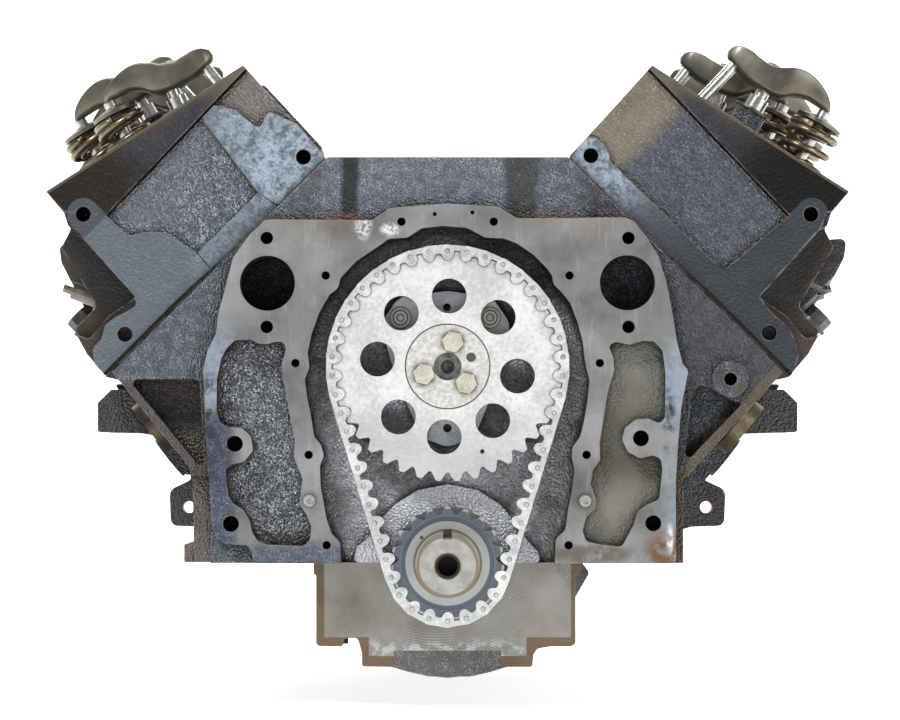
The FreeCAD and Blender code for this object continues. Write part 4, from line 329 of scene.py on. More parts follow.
    # worn blue-white skin down the outer edges
    wornl = k.spot(x, z, -152.0, 124.0, 15.0, 30.0, 0.6)
    wornr = k.mx(k.spot(x, z, 151.0, 118.0, 14.0, 26.0, 0.6), k.mul(k.spot(x, z, 151.0, 30.0, 7.0, 40.0, 0.6), 0.6))
    worn = k.mul(k.mx(wornl, wornr), k.smooth(k.noise(170.0, 4.0, 0.7), 0.30, 0.58))
    rc = k.mix(k.mul(worn, 0.75), rc, (0.300, 0.370, 0.480))
    rustc = k.mul(k.spot(x, z, 146.0, 6.0, 14.0, 15.0, 0.5), k.smooth(b, 0.40, 0.55))
    rc = k.mix(rustc, rc, (0.165, 0.085, 0.040))
    rc = k.mix(k.mul(k.spot(x, z, 147.5, 16.0, 2.2, 9.0, 0.5), k.smooth(b, 0.4, 0.55)), rc, (0.72, 0.72, 0.72))
    stain = k.mul(k.spot(x, z, 96.0, 6.5, 30.0, 6.0, 0.4), k.smooth(b, 0.35, 0.55))
    rc = k.mix(k.mul(stain, 0.8), rc, (0.110, 0.098, 0.070))
    navy = k.mul(k.smooth(k.add(x, k.mul(k.sub(mid, 0.5), 12.0)), -136.0, -147.0), k.smooth(k.add(z, k.mul(k.sub(b, 0.5), 40.0)), 108.0, 92.0))
    rc = k.mix(k.mul(navy, 0.9), rc, k.mix(sp, (0.018, 0.024, 0.042), (0.150, 0.190, 0.280)))
    # dark speckled foot of the cover face
    foot = k.smooth(k.add(z, k.mul(k.sub(mid, 0.5), 16.0)), 18.0, 7.0)
    foot = k.mul(foot, k.smooth(x, 60.0, 20.0))
    foot = k.mx(foot, k.mul(k.smooth(x, -136.0, -146.0), k.smooth(z, 60.0, 35.0)))
    rc = k.mix(k.mul(foot, 0.85), rc, k.mix(sp, (0.045, 0.055, 0.078), (0.260, 0.310, 0.400)))
    # bright scuffs
    sc = k.mx(k.spot(x, z, -56.0, 225.0, 5.0, 9.0, 0.5), k.spot(x, z, -38.0, 221.5, 6.0, 4.0, 0.5))
    rc = k.mix(k.mul(sc, k.smooth(k.noise(500.0, 3.0), 0.35, 0.6)), rc, (0.72, 0.74, 0.76))
    dark = k.mx(k.spot(x, z, -158.0, 96.0, 6.0, 30.0, 0.5), k.spot(x, z, 146.0, 96.0, 5.0, 20.0, 0.5))
    rc = k.mix(k.mul(dark, k.smooth(b, 0.45, 0.6)), rc, (0.03, 0.035, 0.05))
    # tarnish round the upper line of the face
    up = k.mul(k.smooth(z, 219.0, 229.0), k.smooth(k.math("ABSOLUTE", x), 44.0, 60.0))
    rc = k.mix(k.mul(up, 0.35), rc, (0.30, 0.22, 0.15))
    col = k.mix(rim, col, rc)
    # worn and rusted edges
    et = k.mix(k.smooth(k.noise(70.0, 3.0), 0.45, 0.62), (0.26, 0.27, 0.28), (0.25, 0.145, 0.070))
    topedge = k.mul(k.gt(z, 205.0), k.lt(d, 12.0))
    # painted shade: ambient occlusion darkens the block's corners and recesses brown-black
    col = crevice(k, col, k.mix(mid, (0.014, 0.013, 0.013), (0.050, 0.036, 0.022)), 0.006, 1.0, 0.85)
    em = k.mul(edge, k.fmix(topedge, k.mul(k.smooth(k.noise(120.0, 3.0), 0.42, 0.62), 0.55), 0.9))
    col = k.mix(em, col, et)
    # bores and holes
    core = k.mul(k.lt(k.math("ABSOLUTE", k.ny), 0.3), k.lt(z, 100.0))
    rough = k.fmix(rim, k.fmix(mid, 0.26, 0.46), k.fmix(b, 0.33, 0.60))
    rough = k.fmix(k.mx(pr, inwall), rough, 0.55)
    metal = k.fmix(rim, 0.35, 0.55)
    h = k.add(k.mul(k.inv(k.voro(560.0)), 1.3), k.mul(k.noise(300.0, 3.0, 0.6), 0.45))
    bs = k.fmix(rim, k.fmix(pr, 0.75, 0.45), 0.06)
    bs = k.fmix(pl, bs, 0.95)
    nrm = k.bump(h, bs, 0.0012)
    h2 = k.noise(45.0, 3.0, 0.5)
    nrm = k.bump(h2, k.fmix(rim, 0.14, 0.03), 0.004, nrm)
    return k.done(col, rough, metal, nrm)


def headuv(k):
    ax = k.math("ABSOLUTE", k.x)
    u = k.mul(k.sub(ax, k.z), 1000.0 / R2)
    v = k.sub(k.mul(k.add(ax, k.z), 1000.0 / R2), 249.0)
    return u, v


def mat_head(side):
    """side -1: the bank on the left of the front view; its front end carries the large pads."""
    k = Mat("head_iron_look_" + ("a" if side < 0 else "b"))
    u, v = headuv(k)
    d = k.mul(k.add(k.y, L), 1000.0)
    front = k.lt(k.ny, -0.8)
    sp = speckle(k)
    big = k.noise(16.0, 4.0, 0.6)
    mid = k.noise(60.0, 4.0, 0.6)
    edge = k.edge(0.0014)
    cast = k.mix(sp, (0.030, 0.032, 0.038), (0.17, 0.185, 0.215))
    cast = k.mix(k.smooth(big, 0.46, 0.66), cast, (0.060, 0.062, 0.067))
    cast = k.mix(k.mul(k.smooth(mid, 0.55, 0.72), 0.5), cast, (0.095, 0.070, 0.046))
    # outer side is tan brown, the upper rail lip lighter
    outw = k.smooth(u, 5.0, 45.0)
    if side < 0:
        cast = k.mix(k.mul(outw, 0.8), cast, k.mix(mid, (0.030, 0.024, 0.018), (0.110, 0.084, 0.058)))
    else:
        oc = k.mix(k.smooth(v, 24.0, 6.0), k.mix(sp, (0.022, 0.024, 0.030), (0.110, 0.120, 0.142)), k.mix(mid, (0.030, 0.024, 0.018), (0.110, 0.084, 0.058)))
        cast = k.mix(k.mul(outw, 0.85), cast, oc)
    inner = k.smooth(u, -131.0, -137.0)
    cast = k.mix(k.mul(inner, 0.6), cast, (0.065, 0.060, 0.052))
    # inside the rocker chamber: oily brown
    rl = k.add(82.5, k.mul(k.add(u, 138.5), 33.5 / 153.0))
    chamber = k.mul(k.lt(v, k.sub(rl, 1.0)), k.mul(k.gt(v, 50.0), k.gt(k.nz, 0.2)))
    cast = k.mix(k.mul(chamber, 0.5), cast, (0.10, 0.085, 0.058))
    fr = k.mul(front, k.lt(d, 40.0))
    pad = k.mul(fr, k.lt(d, 18.6))
    line = k.add(79.0, k.mul(k.add(u, 137.0), -0.02))
    wedge = k.mul(pad, k.gt(v, k.sub(line, 0.2)))
    # recessed panel grain
    pan = k.mul(fr, k.gt(d, 18.6))
    pc = k.mix(sp, (0.034, 0.038, 0.050), (0.36, 0.395, 0.48))
    if side < 0:
        fade = k.smooth(k.add(k.mul(u, 0.45), v), 8.0, 42.0)
        pc = k.mix(k.mul(fade, 0.8), pc, k.mix(sp, (0.070, 0.080, 0.100), (0.135, 0.150, 0.180)))
        tanc = k.mul(k.smooth(k.add(u, k.mul(k.sub(mid, 0.5), 12.0)), -88.0, -102.0), k.smooth(v, 34.0, 52.0))
        pc = k.mix(k.mul(tanc, 0.9), pc, k.mix(mid, (0.060, 0.050, 0.046), (0.185, 0.158, 0.145)))
    else:
        pc = k.mix(sp, (0.030, 0.035, 0.047), (0.120, 0.134, 0.168))
        pc = k.mix(k.mul(k.smooth(k.add(u, k.mul(k.sub(mid, 0.5), 14.0)), -96.0, -112.0), 0.85), pc, k.mix(mid, (0.075, 0.062, 0.042), (0.240, 0.210, 0.150)))
    relief = k.mul(k.gt(u, 17.0), fr)
    pc = k.mix(relief, pc, k.mix(sp, (0.013, 0.013, 0.015), (0.034, 0.034, 0.038)))
    pc = k.mix(k.mul(relief, k.smooth(k.add(u, k.mul(v, 0.35)), 52.0, 70.0)), pc, k.mix(mid, (0.028, 0.021, 0.016), (0.080, 0.060, 0.042)))
    col = k.mix(pan, cast, pc)
    # pads: smooth blue-grey with bright rubbed patches
    base = k.mix(k.noise(300.0, 3.0), (0.105, 0.122, 0.148), (0.165, 0.190, 0.225))
    base = k.mix(k.mul(k.smooth(mid, 0.52, 0.70), 0.4), base, (0.120, 0.148, 0.155))
    rub = k.smooth(k.noise(210.0, 4.0, 0.75), 0.36, 0.60)
    if side > 0:
        base = k.mix(k.smooth(u, -110.0, -20.0), base, k.mix(mid, (0.026, 0.030, 0.038), (0.060, 0.066, 0.078)))
    if side < 0:
        bright = k.mx(k.spot(u, v, -112.0, 12.0, 34.0, 34.0, 0.5), k.mul(k.spot(u, v, -112.0, 45.0, 26.0, 32.0, 0.5), 0.75))
        bright = k.mx(bright, k.mul(k.spot(u, v, -58.0, 8.0, 36.0, 12.0, 0.4), 0.4))
    else:
        bright = k.mul(k.spot(u, v, -124.0, 10.0, 38.0, 18.0, 0.5), 0.9)
    base = k.mix(k.mul(bright, rub), base, (0.400, 0.480, 0.580))
    runs = k.smooth(k.noise(120.0, 4.0, 0.7, stretch=(1.0, 1.0, 0.16)), 0.62, 0.72)
    base = k.mix(k.mul(runs, 0.55 if side < 0 else 0.22), base, k.mix(sp, (0.10, 0.11, 0.13), (0.46, 0.49, 0.54)))
    # painted shadow: a near-black strip along the bottom of the pad where the head meets the block
    base = k.mix(k.lt(v, k.mul(k.smooth(u, -70.0, 12.0), 3.2)), base, (0.004, 0.004, 0.004))
    col = k.mix(pad, col, base)
    wd = k.mix(sp, (0.034, 0.037, 0.044), (0.080, 0.084, 0.096))
    wd = k.mix(k.smooth(k.add(u, k.mul(k.sub(mid, 0.5), 40.0)), -62.0, -18.0), wd, k.mix(mid, (0.009, 0.007, 0.006), (0.030, 0.024, 0.018)))
    up_ = k.math("DIVIDE", k.sub(v, line), k.mx(k.sub(rl, line), 1.0))
    wd = k.mix(k.mul(k.smooth(up_, 0.45, 1.0), k.mul(k.smooth(u, -20.0, -80.0), 0.8)), wd, k.mix(mid, (0.045, 0.036, 0.024), (0.125, 0.105, 0.072)))
    du, dv = k.sub(u, 7.4), k.sub(v, 87.6)
    ear = k.lt(k.math("SQRT", k.add(k.mul(du, du), k.mul(dv, dv))), 10.8)
    ear = k.mx(ear, k.mul(k.lt(k.math("ABSOLUTE", du), 10.8), k.lt(v, 87.6)))
    earc = (0.080, 0.088, 0.105) if side < 0 else (0.045, 0.050, 0.060)
    if side > 0:
        wd = k.mix(k.mul(k.smooth(u, -85.0, -30.0), 0.95), wd, (0.0065, 0.0050, 0.0035))
    wd = k.mix(ear, wd, earc)
    wd = k.mix(k.mul(k.smooth(u, -95.0, -132.0), 0.8), wd, k.mix(mid, (0.12, 0.105, 0.075), (0.24, 0.215, 0.165)))
    col = k.mix(wedge, col, wd)
    groove = k.mul(fr, k.between(k.sub(v, line), -1.6, 0.2))
    # painted highlight: the top strip of the front face below the rail is made lighter brown
    lit = k.mul(fr, k.gt(v, k.sub(rl, 2.0)))
    col = k.mix(k.mul(lit, 0.7), col, (0.150, 0.115, 0.080))
    # painted shade: ambient occlusion darkens the head's corners and recesses
    col = crevice(k, col, k.mix(mid, (0.012, 0.011, 0.011), (0.045, 0.032, 0.020)), 0.012, 1.0, 0.9)
    et = k.mix(k.smooth(k.noise(70.0, 3.0), 0.42, 0.60), (0.25, 0.26, 0.27), (0.235, 0.165, 0.100))
    col = k.mix(k.mul(edge, k.smooth(k.noise(130.0, 3.0), 0.36, 0.58)), col, et)
    rough = k.fmix(pad, k.fmix(mid, 0.24, 0.42), 0.32)
    h = k.add(k.mul(k.inv(k.voro(560.0)), 1.3), k.mul(k.noise(300.0, 3.0, 0.6), 0.45))
    nrm = k.bump(h, k.fmix(k.smooth(u, 12.0, 24.0), k.fmix(pad, 0.62, 0.22), 0.16), 0.0012)
    nrm = k.bump(k.noise(42.0, 3.0), k.fmix(pad, 0.14, 0.08), 0.004, nrm)
    return k.done(col, rough, k.fmix(pad, 0.35, 0.5), nrm)


def mat_cap():
    k = Mat("cap_iron_look")
    x, z = k.mul(k.x, 1000.0), k.mul(k.z, 1000.0)
    d = k.mul(k.add(k.y, L), 1000.0)
    face = k.mul(k.lt(k.ny, -0.8), k.lt(d, 24.6))
    r = k.math("SQRT", k.add(k.math("POWER", k.add(x, 6.0), 2.0), k.math("POWER", k.sub(z, 24.0), 2.0)))
    arcs = k.math("SINE", k.mul(k.add(r, k.mul(k.noise(25.0, 2.0), 1.6)), 2.0 * math.pi / 1.75))
    arcs = k.math("MULTIPLY_ADD", arcs, 0.5, 0.5)
    vis = k.mul(k.mx(k.smooth(x, -10.0, 50.0, 0.12, 1.0), k.smooth(z, -38.0, -52.0)), k.smooth(k.noise(40.0, 3.0), 0.30, 0.60, 0.3, 0.8))
    base = k.ramp(k.noise(30.0, 5.0, 0.6), [(0.3, (0.175, 0.165, 0.140)), (0.5, (0.235, 0.225, 0.200)), (0.7, (0.290, 0.282, 0.258))])
    base = k.mix(k.mul(k.mul(arcs, vis), 0.55), base, (0.46, 0.46, 0.44))
    low = k.mul(k.smooth(z, -48.0, -58.0), k.smooth(k.noise(200.0, 3.0), 0.45, 0.6))
    base = k.mix(k.mul(low, 0.55), base, (0.62, 0.64, 0.68))
    ax = k.math("ABSOLUTE", x)
    strip = k.mx(k.gt(ax, 82.6), k.mul(k.gt(ax, 52.8), k.lt(z, -50.0)))
    strip = k.mx(strip, k.lt(z, -62.6))
    brown = k.mix(k.noise(120.0, 3.0), (0.110, 0.076, 0.046), (0.190, 0.135, 0.085))
    base = k.mix(strip, base, brown)
    lobe = k.mul(k.lt(z, -59.0), k.lt(ax, 36.0))
    sp = speckle(k)
    base = k.mix(lobe, base, k.mix(sp, (0.085, 0.082, 0.082), (0.30, 0.29, 0.285)))
    cast = k.mix(sp, (0.035, 0.034, 0.036), (0.120, 0.110, 0.100))
    col = k.mix(face, cast, base)
    col = k.mix(k.mul(k.edge(0.001), 0.5), col, (0.28, 0.24, 0.18))
    milled = k.mul(face, k.inv(k.mx(strip, lobe)))
    h = k.add(k.mul(arcs, k.mul(k.mul(milled, vis), 0.7)), k.mul(k.noise(900.0, 2.0), 0.8))
    return k.done(col, k.fmix(milled, 0.55, 0.38), k.fmix(milled, 0.35, 0.65), k.bump(h, k.fmix(milled, 0.5, 0.35), 0.0006))


def mat_metal(name, dark, light, rough=(0.25, 0.45), metal=0.9, scale=60.0, grime_and_shade=None, grain=700.0, gb=0.10, edge=None, fine=0.4):
    k = Mat(name)
    a = k.noise(scale, 5.0, 0.6)
    b = k.noise(grain, 3.0, 0.6)
    f = k.smooth(k.add(k.mul(a, 1.0 - fine), k.mul(b, fine)), 0.36, 0.62)
    col = k.mix(f, dark, light)
    if grime_and_shade:
        g = k.smooth(k.noise(scale * 0.5, 5.0, 0.65), 0.50, 0.66)
        col = k.mix(k.mul(g, 0.7), col, grime_and_shade)
    if edge:
        col = k.mix(k.mul(k.edge(0.0006), 0.8), col, edge)
    return k.done(col, k.fmix(a, rough[0], rough[1]), metal, k.bump(b, gb, 0.0005))


def mat_sprocket():
    k = Mat("sprocket_silver_look")
    x = k.mul(k.x, 1000.0)
    z = k.sub(k.mul(k.z, 1000.0), 130.86)
    r = k.math("SQRT", k.add(k.mul(x, x), k.mul(z, z)))
    a = k.noise(28.0, 5.0, 0.6)
    b = k.noise(420.0, 4.0, 0.7)
    f = k.smooth(k.add(k.mul(a, 0.5), k.mul(b, 0.5)), 0.38, 0.60)
    col = k.mix(f, (0.56, 0.575, 0.56), (0.80, 0.81, 0.80))
    col = k.mix(k.mul(k.smooth(z, -20.0, -60.0), 0.55), col, (0.44, 0.455, 0.45))
    hub = k.lt(r, 27.9)
    hc = k.mix(k.smooth(k.noise(300.0, 4.0, 0.7), 0.40, 0.62), (0.55, 0.54, 0.50), (0.78, 0.77, 0.74))
    col = k.mix(hub, col, hc)
    stain = k.mul(k.smooth(k.noise(75.0, 4.0), 0.60, 0.72), 0.45)
    col = k.mix(stain, col, (0.54, 0.55, 0.53))
    ringd = k.mul(k.between(r, 27.6, 28.6), 0.9)
    col = k.mix(ringd, col, (0.10, 0.10, 0.10))
    rot = k.math("SINE", k.mul(r, 7.0))
    # painted shade: tooth flanks and hole walls are darkened
    side = k.gt(k.math("ABSOLUTE", k.ny), 0.5)
    col = k.mix(k.inv(side), col, (0.22, 0.22, 0.21))
    col = k.mix(k.mul(k.edge(0.0005), 0.5), col, (0.9, 0.9, 0.9))
    # painted shade: ambient occlusion darkens the gaps round the teeth and the chain
    col = crevice(k, col, (0.045, 0.043, 0.040), 0.005, 1.0, 0.95)
    h = k.add(k.mul(rot, 0.25), b)
    return k.done(col, k.fmix(a, 0.36, 0.52), 0.62, k.bump(h, 0.10, 0.0004))


def mat_crank_sprocket():
    k = Mat("crank_sprocket_look")
    x, z = k.mul(k.x, 1000.0), k.mul(k.z, 1000.0)
    d = k.mul(k.add(k.y, L), 1000.0)
    r = k.math("SQRT", k.add(k.mul(x, x), k.mul(z, z)))
    a = k.noise(70.0, 4.0)
    col = k.mix(a, (0.085, 0.108, 0.140), (0.165, 0.195, 0.235))
    hub = k.mul(k.lt(r, 28.2), k.lt(d, 3.0))
    col = k.mix(hub, col, k.mix(a, (0.33, 0.34, 0.34), (0.46, 0.47, 0.46)))
    inn = k.mul(k.lt(r, 23.0), k.lt(d, 3.0))
    col = k.mix(inn, col, (0.20, 0.17, 0.125))
    col = k.mix(k.mul(k.gt(r, 36.2), 0.7), col, (0.52, 0.54, 0.56))
    col = k.mix(k.mul(k.edge(0.0005), 0.6), col, (0.55, 0.56, 0.56))
    return k.done(col, k.fmix(a, 0.32, 0.5), 0.7, k.bump(k.noise(700.0, 3.0), 0.15, 0.0004))


def mat_crank():
    k = Mat("crank_steel_look")
    x, z = k.mul(k.x, 1000.0), k.mul(k.z, 1000.0)
    d = k.mul(k.add(k.y, L), 1000.0)
    r = k.math("SQRT", k.add(k.mul(x, x), k.mul(z, z)))
    a = k.noise(60.0, 4.0)
    journ = k.between(r, 0.0, 36.0)
    cast = k.mix(speckle(k), (0.060, 0.058, 0.056), (0.16, 0.155, 0.15))
    bright = k.mix(a, (0.40, 0.385, 0.35), (0.60, 0.585, 0.55))
    col = k.mix(journ, cast, bright)
    face = k.mul(k.lt(d, -55.0), 1.0)
    fc = k.mix(k.smooth(k.noise(140.0, 4.0), 0.35, 0.68), (0.36, 0.35, 0.33), (0.50, 0.49, 0.47))
    col = k.mix(face, col, fc)
    rimg = k.mul(face, k.gt(r, 18.4))
    col = k.mix(rimg, col, (0.27, 0.215, 0.145))
    core = k.mul(face, k.lt(r, 8.8))
    col = k.mix(core, col, (0.20, 0.155, 0.105))
    # painted shade: the inside of the snout bore is near black
    deep = k.lt(r, 6.5)
    col = k.mix(deep, col, (0.03, 0.03, 0.03))
    return k.done(col, k.fmix(a, 0.28, 0.45), 0.8, k.bump(k.noise(800.0, 2.0), 0.08, 0.0004))


def mat_rocker():
    k = Mat("rocker_look")
    a = k.noise(45.0, 4.0, 0.55)
    col = k.ramp(a, [(0.30, (0.095, 0.082, 0.060)), (0.52, (0.165, 0.147, 0.112)), (0.72, (0.245, 0.225, 0.185))])
    g = k.smooth(k.noise(18.0, 3.0), 0.5, 0.68)
    col = k.mix(k.mul(g, 0.6), col, (0.115, 0.120, 0.118))
    return k.done(col, k.fmix(a, 0.24, 0.40), 0.62, k.bump(k.noise(500.0, 3.0), 0.08, 0.0005))


def mat_plain(name, col, rough, metal, var=0.25, scale=80.0, bumpy=0.1):
    k = Mat(name)
    a = k.noise(scale, 4.0)
    dk = tuple(c * (1 - var) for c in col)
    lt_ = tuple(min(1.0, c * (1 + var)) for c in col)
    return k.done(k.mix(k.smooth(a, 0.35, 0.65), dk, lt_), k.fmix(a, rough * 0.8, min(1.0, rough * 1.25)), metal,
                  k.bump(k.noise(scale * 9, 3.0), bumpy, 0.0005))


def mat_screw():
    """Flanged bolts of the thrust plate: dark rings are painted shade standing in for the steps of the head."""
    k = Mat("thrust_screw_look")
    x, z = k.mul(k.x, 1000.0), k.mul(k.z, 1000.0)
    r1 = k.math("SQRT", k.add(k.math("POWER", k.add(x, 31.6), 2.0), k.math("POWER", k.sub(z, 163.9), 2.0)))
    r2 = k.math("SQRT", k.add(k.math("POWER", k.sub(x, 28.4), 2.0), k.math("POWER", k.sub(z, 164.0), 2.0)))
    r = k.mn(r1, r2)
    col = k.mix(k.noise(300.0, 3.0), (0.34, 0.335, 0.30), (0.58, 0.57, 0.52))
    for a, b in ((2.0, 2.7), (4.4, 5.2), (6.9, 7.6)):
        col = k.mix(k.between(r, a, b), col, (0.045, 0.043, 0.038))
    return k.done(col, 0.32, 0.8, k.bump(k.noise(700.0, 2.0), 0.1, 0.0004))


def mat_tooth():
    """Toothed links: bright along the back of the chain, with painted shade making them near black where the teeth sit
    in the sprocket gaps.
    """
    k = Mat("chain_tooth_look")
    ax, z = k.math("ABSOLUTE", k.mul(k.x, 1000.0)), k.mul(k.z, 1000.0)
    zc = k.sub(z, 130.86)
    rc = k.sub(k.math("SQRT", k.add(k.mul(ax, ax), k.mul(zc, zc))), 76.8)
    rk = k.sub(k.math("SQRT", k.add(k.mul(ax, ax), k.mul(z, z))), 38.4)
    side = k.sub(k.add(k.mul(ax, 0.956), k.mul(z, 0.2934)), 38.4)
    up = k.gt(k.sub(k.mul(zc, 0.956), k.mul(ax, 0.2934)), 0.0)
    dn = k.lt(k.sub(k.mul(z, 0.956), k.mul(ax, 0.2934)), 0.0)
    dist = k.fmix(dn, k.fmix(up, side, rc), rk)
    a = k.noise(90.0, 4.0)
    lightc = k.mix(a, (0.52, 0.53, 0.53), (0.78, 0.79, 0.78))
    col = k.mix(k.smooth(dist, -0.6, 0.4), (0.040, 0.038, 0.036), lightc)
    return k.done(col, k.fmix(a, 0.32, 0.5), 0.6, k.bump(k.noise(600.0, 2.0), 0.12, 0.0004))


M_BLOCK = mat_block()
M_HA, M_HB = mat_head(-1), mat_head(1)
M_CAP = mat_cap()
M_SPR, M_CSP, M_CRK, M_ROCK = mat_sprocket(), mat_crank_sprocket(), mat_crank(), mat_rocker()
M_CHAIN = mat_metal("chain_look", (0.50, 0.515, 0.51), (0.80, 0.81, 0.80), (0.30, 0.46), 0.62, 90.0, None, 500.0, 0.12, (0.88, 0.88, 0.88))
M_PIN = mat_metal("chain_pin_look", (0.40, 0.40, 0.39), (0.70, 0.70, 0.68), (0.25, 0.40), 0.7, 300.0, None, 900.0, 0.1, (0.16, 0.16, 0.15))
M_TOOTH = mat_tooth()
M_BRIGHT = mat_metal("bright_steel_look", (0.42, 0.42, 0.40), (0.72, 0.72, 0.70), (0.14, 0.30), 0.95, 60.0, (0.30, 0.27, 0.20), 600.0, 0.05)
M_DARK = mat_metal("dark_steel_look", (0.060, 0.058, 0.055), (0.160, 0.155, 0.145), (0.28, 0.48), 0.75, 60.0, (0.09, 0.07, 0.045), 600.0, 0.12, (0.30, 0.28, 0.25))
M_BLACK = mat_metal("black_bolt_look", (0.035, 0.034, 0.034), (0.110, 0.105, 0.100), (0.30, 0.5), 0.7, 60.0, (0.10, 0.07, 0.045), 600.0, 0.15, (0.26, 0.23, 0.20))
M_BEAR = mat_metal("bearing_look", (0.42, 0.41, 0.39), (0.62, 0.61, 0.59), (0.3, 0.42), 0.9)
M_BRASS = mat_metal("plug_brass_look", (0.105, 0.080, 0.050), (0.24, 0.19, 0.12), (0.3, 0.5), 0.7, 40.0, (0.07, 0.05, 0.035), 500.0, 0.15)
M_PISTON = mat_metal("piston_look", (0.42, 0.42, 0.42), (0.62, 0.62, 0.62), (0.3, 0.45), 0.9)
M_FORGE = mat_metal("forged_look", (0.12, 0.115, 0.11), (0.26, 0.25, 0.24), (0.4, 0.6), 0.7, 60.0, (0.12, 0.09, 0.06), 500.0, 0.3)
M_VALVE = mat_metal("valve_look", (0.34, 0.34, 0.33), (0.58, 0.58, 0.57), (0.2, 0.35), 0.95)
M_RET = mat_metal("retainer_look", (0.085, 0.075, 0.058), (0.22, 0.20, 0.17), (0.25, 0.42), 0.8, 60.0, (0.16, 0.12, 0.07), 600.0, 0.1, (0.42, 0.38, 0.30))
M_SPRING = mat_metal("spring_look", (0.115, 0.086, 0.052), (0.28, 0.22, 0.145), (0.20, 0.36), 0.8, 50.0, (0.30, 0.27, 0.22), 600.0, 0.08)
M_BALL = mat_metal("ball_look", (0.10, 0.095, 0.08), (0.30, 0.28, 0.24), (0.2, 0.35), 0.85)
M_SCREW = mat_screw()
M_GOLD = mat_metal("bolt_gold_look", (0.58, 0.56, 0.42), (0.80, 0.79, 0.68), (0.3, 0.45), 0.75, 120.0, (0.30, 0.25, 0.12), 500.0, 0.15, (0.8, 0.79, 0.72))
M_CAM = mat_metal("cam_look", (0.10, 0.10, 0.10), (0.42, 0.42, 0.41), (0.22, 0.4), 0.85)
M_GASK = mat_plain("gasket_look", (0.022, 0.022, 0.023), 0.75, 0.0, 0.4)
M_SEAL = mat_plain("seal_look", (0.020, 0.020, 0.020), 0.6, 0.0, 0.3)
M_GUIDE = mat_metal("guide_look", (0.12, 0.12, 0.12), (0.26, 0.26, 0.26), (0.35, 0.5), 0.7)
M_PLUG = mat_metal("spark_plug_look", (0.10, 0.085, 0.065), (0.26, 0.235, 0.20), (0.25, 0.42), 0.6)
M_PLATE = mat_metal("thrust_plate_look", (0.34, 0.36, 0.40), (0.58, 0.60, 0.63), (0.3, 0.45), 0.6)

LOOK = {
    "engine_block": M_BLOCK, "left_cylinder_head": M_HB, "right_cylinder_head": M_HA,
    "left_head_gasket": M_GASK, "right_head_gasket": M_GASK, "head_bolts": M_BLACK,
    "front_main_cap": M_CAP, "inner_main_caps": M_CAP, "rear_main_cap": M_CAP, "main_cap_bolts": M_BLACK,
    "main_bearing_shells": M_BEAR, "cam_bearings": M_BEAR, "cam_thrust_plate": M_PLATE, "thrust_plate_screws": M_SCREW,
    "dowel_pins": M_BRIGHT, "core_plugs": M_BRASS, "oil_gallery_plugs": M_DARK, "spark_plugs": M_PLUG,
    "rocker_bolts": M_BRIGHT, "rocker_fulcrum_balls": M_BALL, "pushrod_guide_plates": M_DARK, "spring_seats": M_DARK,
    "valve_guides": M_GUIDE, "rear_seal_housing": M_DARK, "rear_main_seal": M_SEAL, "pistons": M_PISTON,
    "piston_rings": M_DARK, "piston_pins": M_BRIGHT, "connecting_rods": M_FORGE, "rod_caps": M_FORGE, "rod_bolts": M_BLACK,
    "rod_bearing_shells": M_BEAR, "chain_guide_plates": M_CHAIN, "chain_toothed_links": M_TOOTH, "chain_pins": M_PIN,
    "crankshaft": M_CRK, "crank_sprocket": M_CSP, "crank_key": M_DARK, "camshaft": M_CAM, "cam_sprocket": M_SPR,
    "cam_sprocket_bolts": M_GOLD, "cam_dowel_pin": M_DARK,
}
for s_ in ("left", "right"):
    for k_ in ("intake", "exhaust"):
        LOOK["%s_%s_pushrods" % (s_, k_)] = M_BRIGHT
        LOOK["%s_%s_rockers" % (s_, k_)] = M_ROCK
        LOOK["%s_%s_valves" % (s_, k_)] = M_VALVE
        LOOK["%s_%s_retainers" % (s_, k_)] = M_RET
for n_, m_ in LOOK.items():
    assign(n_, m_)


# ----------------------------------------------------------- valve train data
BS = 122.94
CYL = {1: [91.3 + BS * i for i in range(4)], -1: [115.7 + BS * i for i in range(4)]}
ROCK = {"intake": dict(P=(169.4, 341.9), slope=23.2, tilt=27.0, dy=23.0),
        "exhaust": dict(P=(198.5, 341.0), slope=31.0, tilt=30.0, dy=-23.0)}
for q in ROCK.values():
    a = math.radians(q["slope"])
    q["ex"], q["ez"] = (math.cos(a), -math.sin(a)), (math.sin(a), math.cos(a))
    q["C"] = (q["P"][0] + 25.4 * q["ex"][0], q["P"][1] + 25.4 * q["ex"][1])
    q["T"] = (q["C"][0] + 43.2 * q["ex"][0], q["C"][1] + 43.2 * q["ex"][1])
    t = math.radians(q["tilt"])
    q["va"] = (math.sin(t), math.cos(t))


def valve_d(side, kind):
    return [c + side * ROCK[kind]["dy"] for c in CYL[side]]


def new_obj(name, bm, mat, smooth=True):
    me = bpy.data.meshes.new(name)
    bm.normal_update()
    bm.to_mesh(me)
    bm.free()
    if smooth:
        for p in me.polygons:
            p.use_smooth = True
    o = bpy.data.objects.new(name, me)
    bpy.context.scene.collection.objects.link(o)
    me.materials.append(mat)
    return o


def tube(bm, pts, r, seg=10, close=True):
    """Round tube through points (Vectors)."""
    n = len(pts)
    rings = []
    prev = None
    for i, p in enumerate(pts):
        t = (pts[min(i + 1, n - 1)] - pts[max(i - 1, 0)]).normalized()
        if prev is None:
            ref = Vector((0, 0, 1)) if abs(t.z) < 0.9 else Vector((1, 0, 0))
            a = t.cross(ref).normalized()
        else:
            a = (prev - t * prev.dot(t)).normalized()
        prev = a
        b = t.cross(a)
        rings.append([bm.verts.new(p + (a * math.cos(2 * math.pi * k / seg) + b * math.sin(2 * math.pi * k / seg)) * r) for k in range(seg)])
    for i in range(n - 1):
        for k in range(seg):
            bm.faces.new((rings[i][k], rings[i][(k + 1) % seg], rings[i + 1][(k + 1) % seg], rings[i + 1][k]))
    bm.faces.new(list(reversed(rings[0])))
    bm.faces.new(rings[-1])


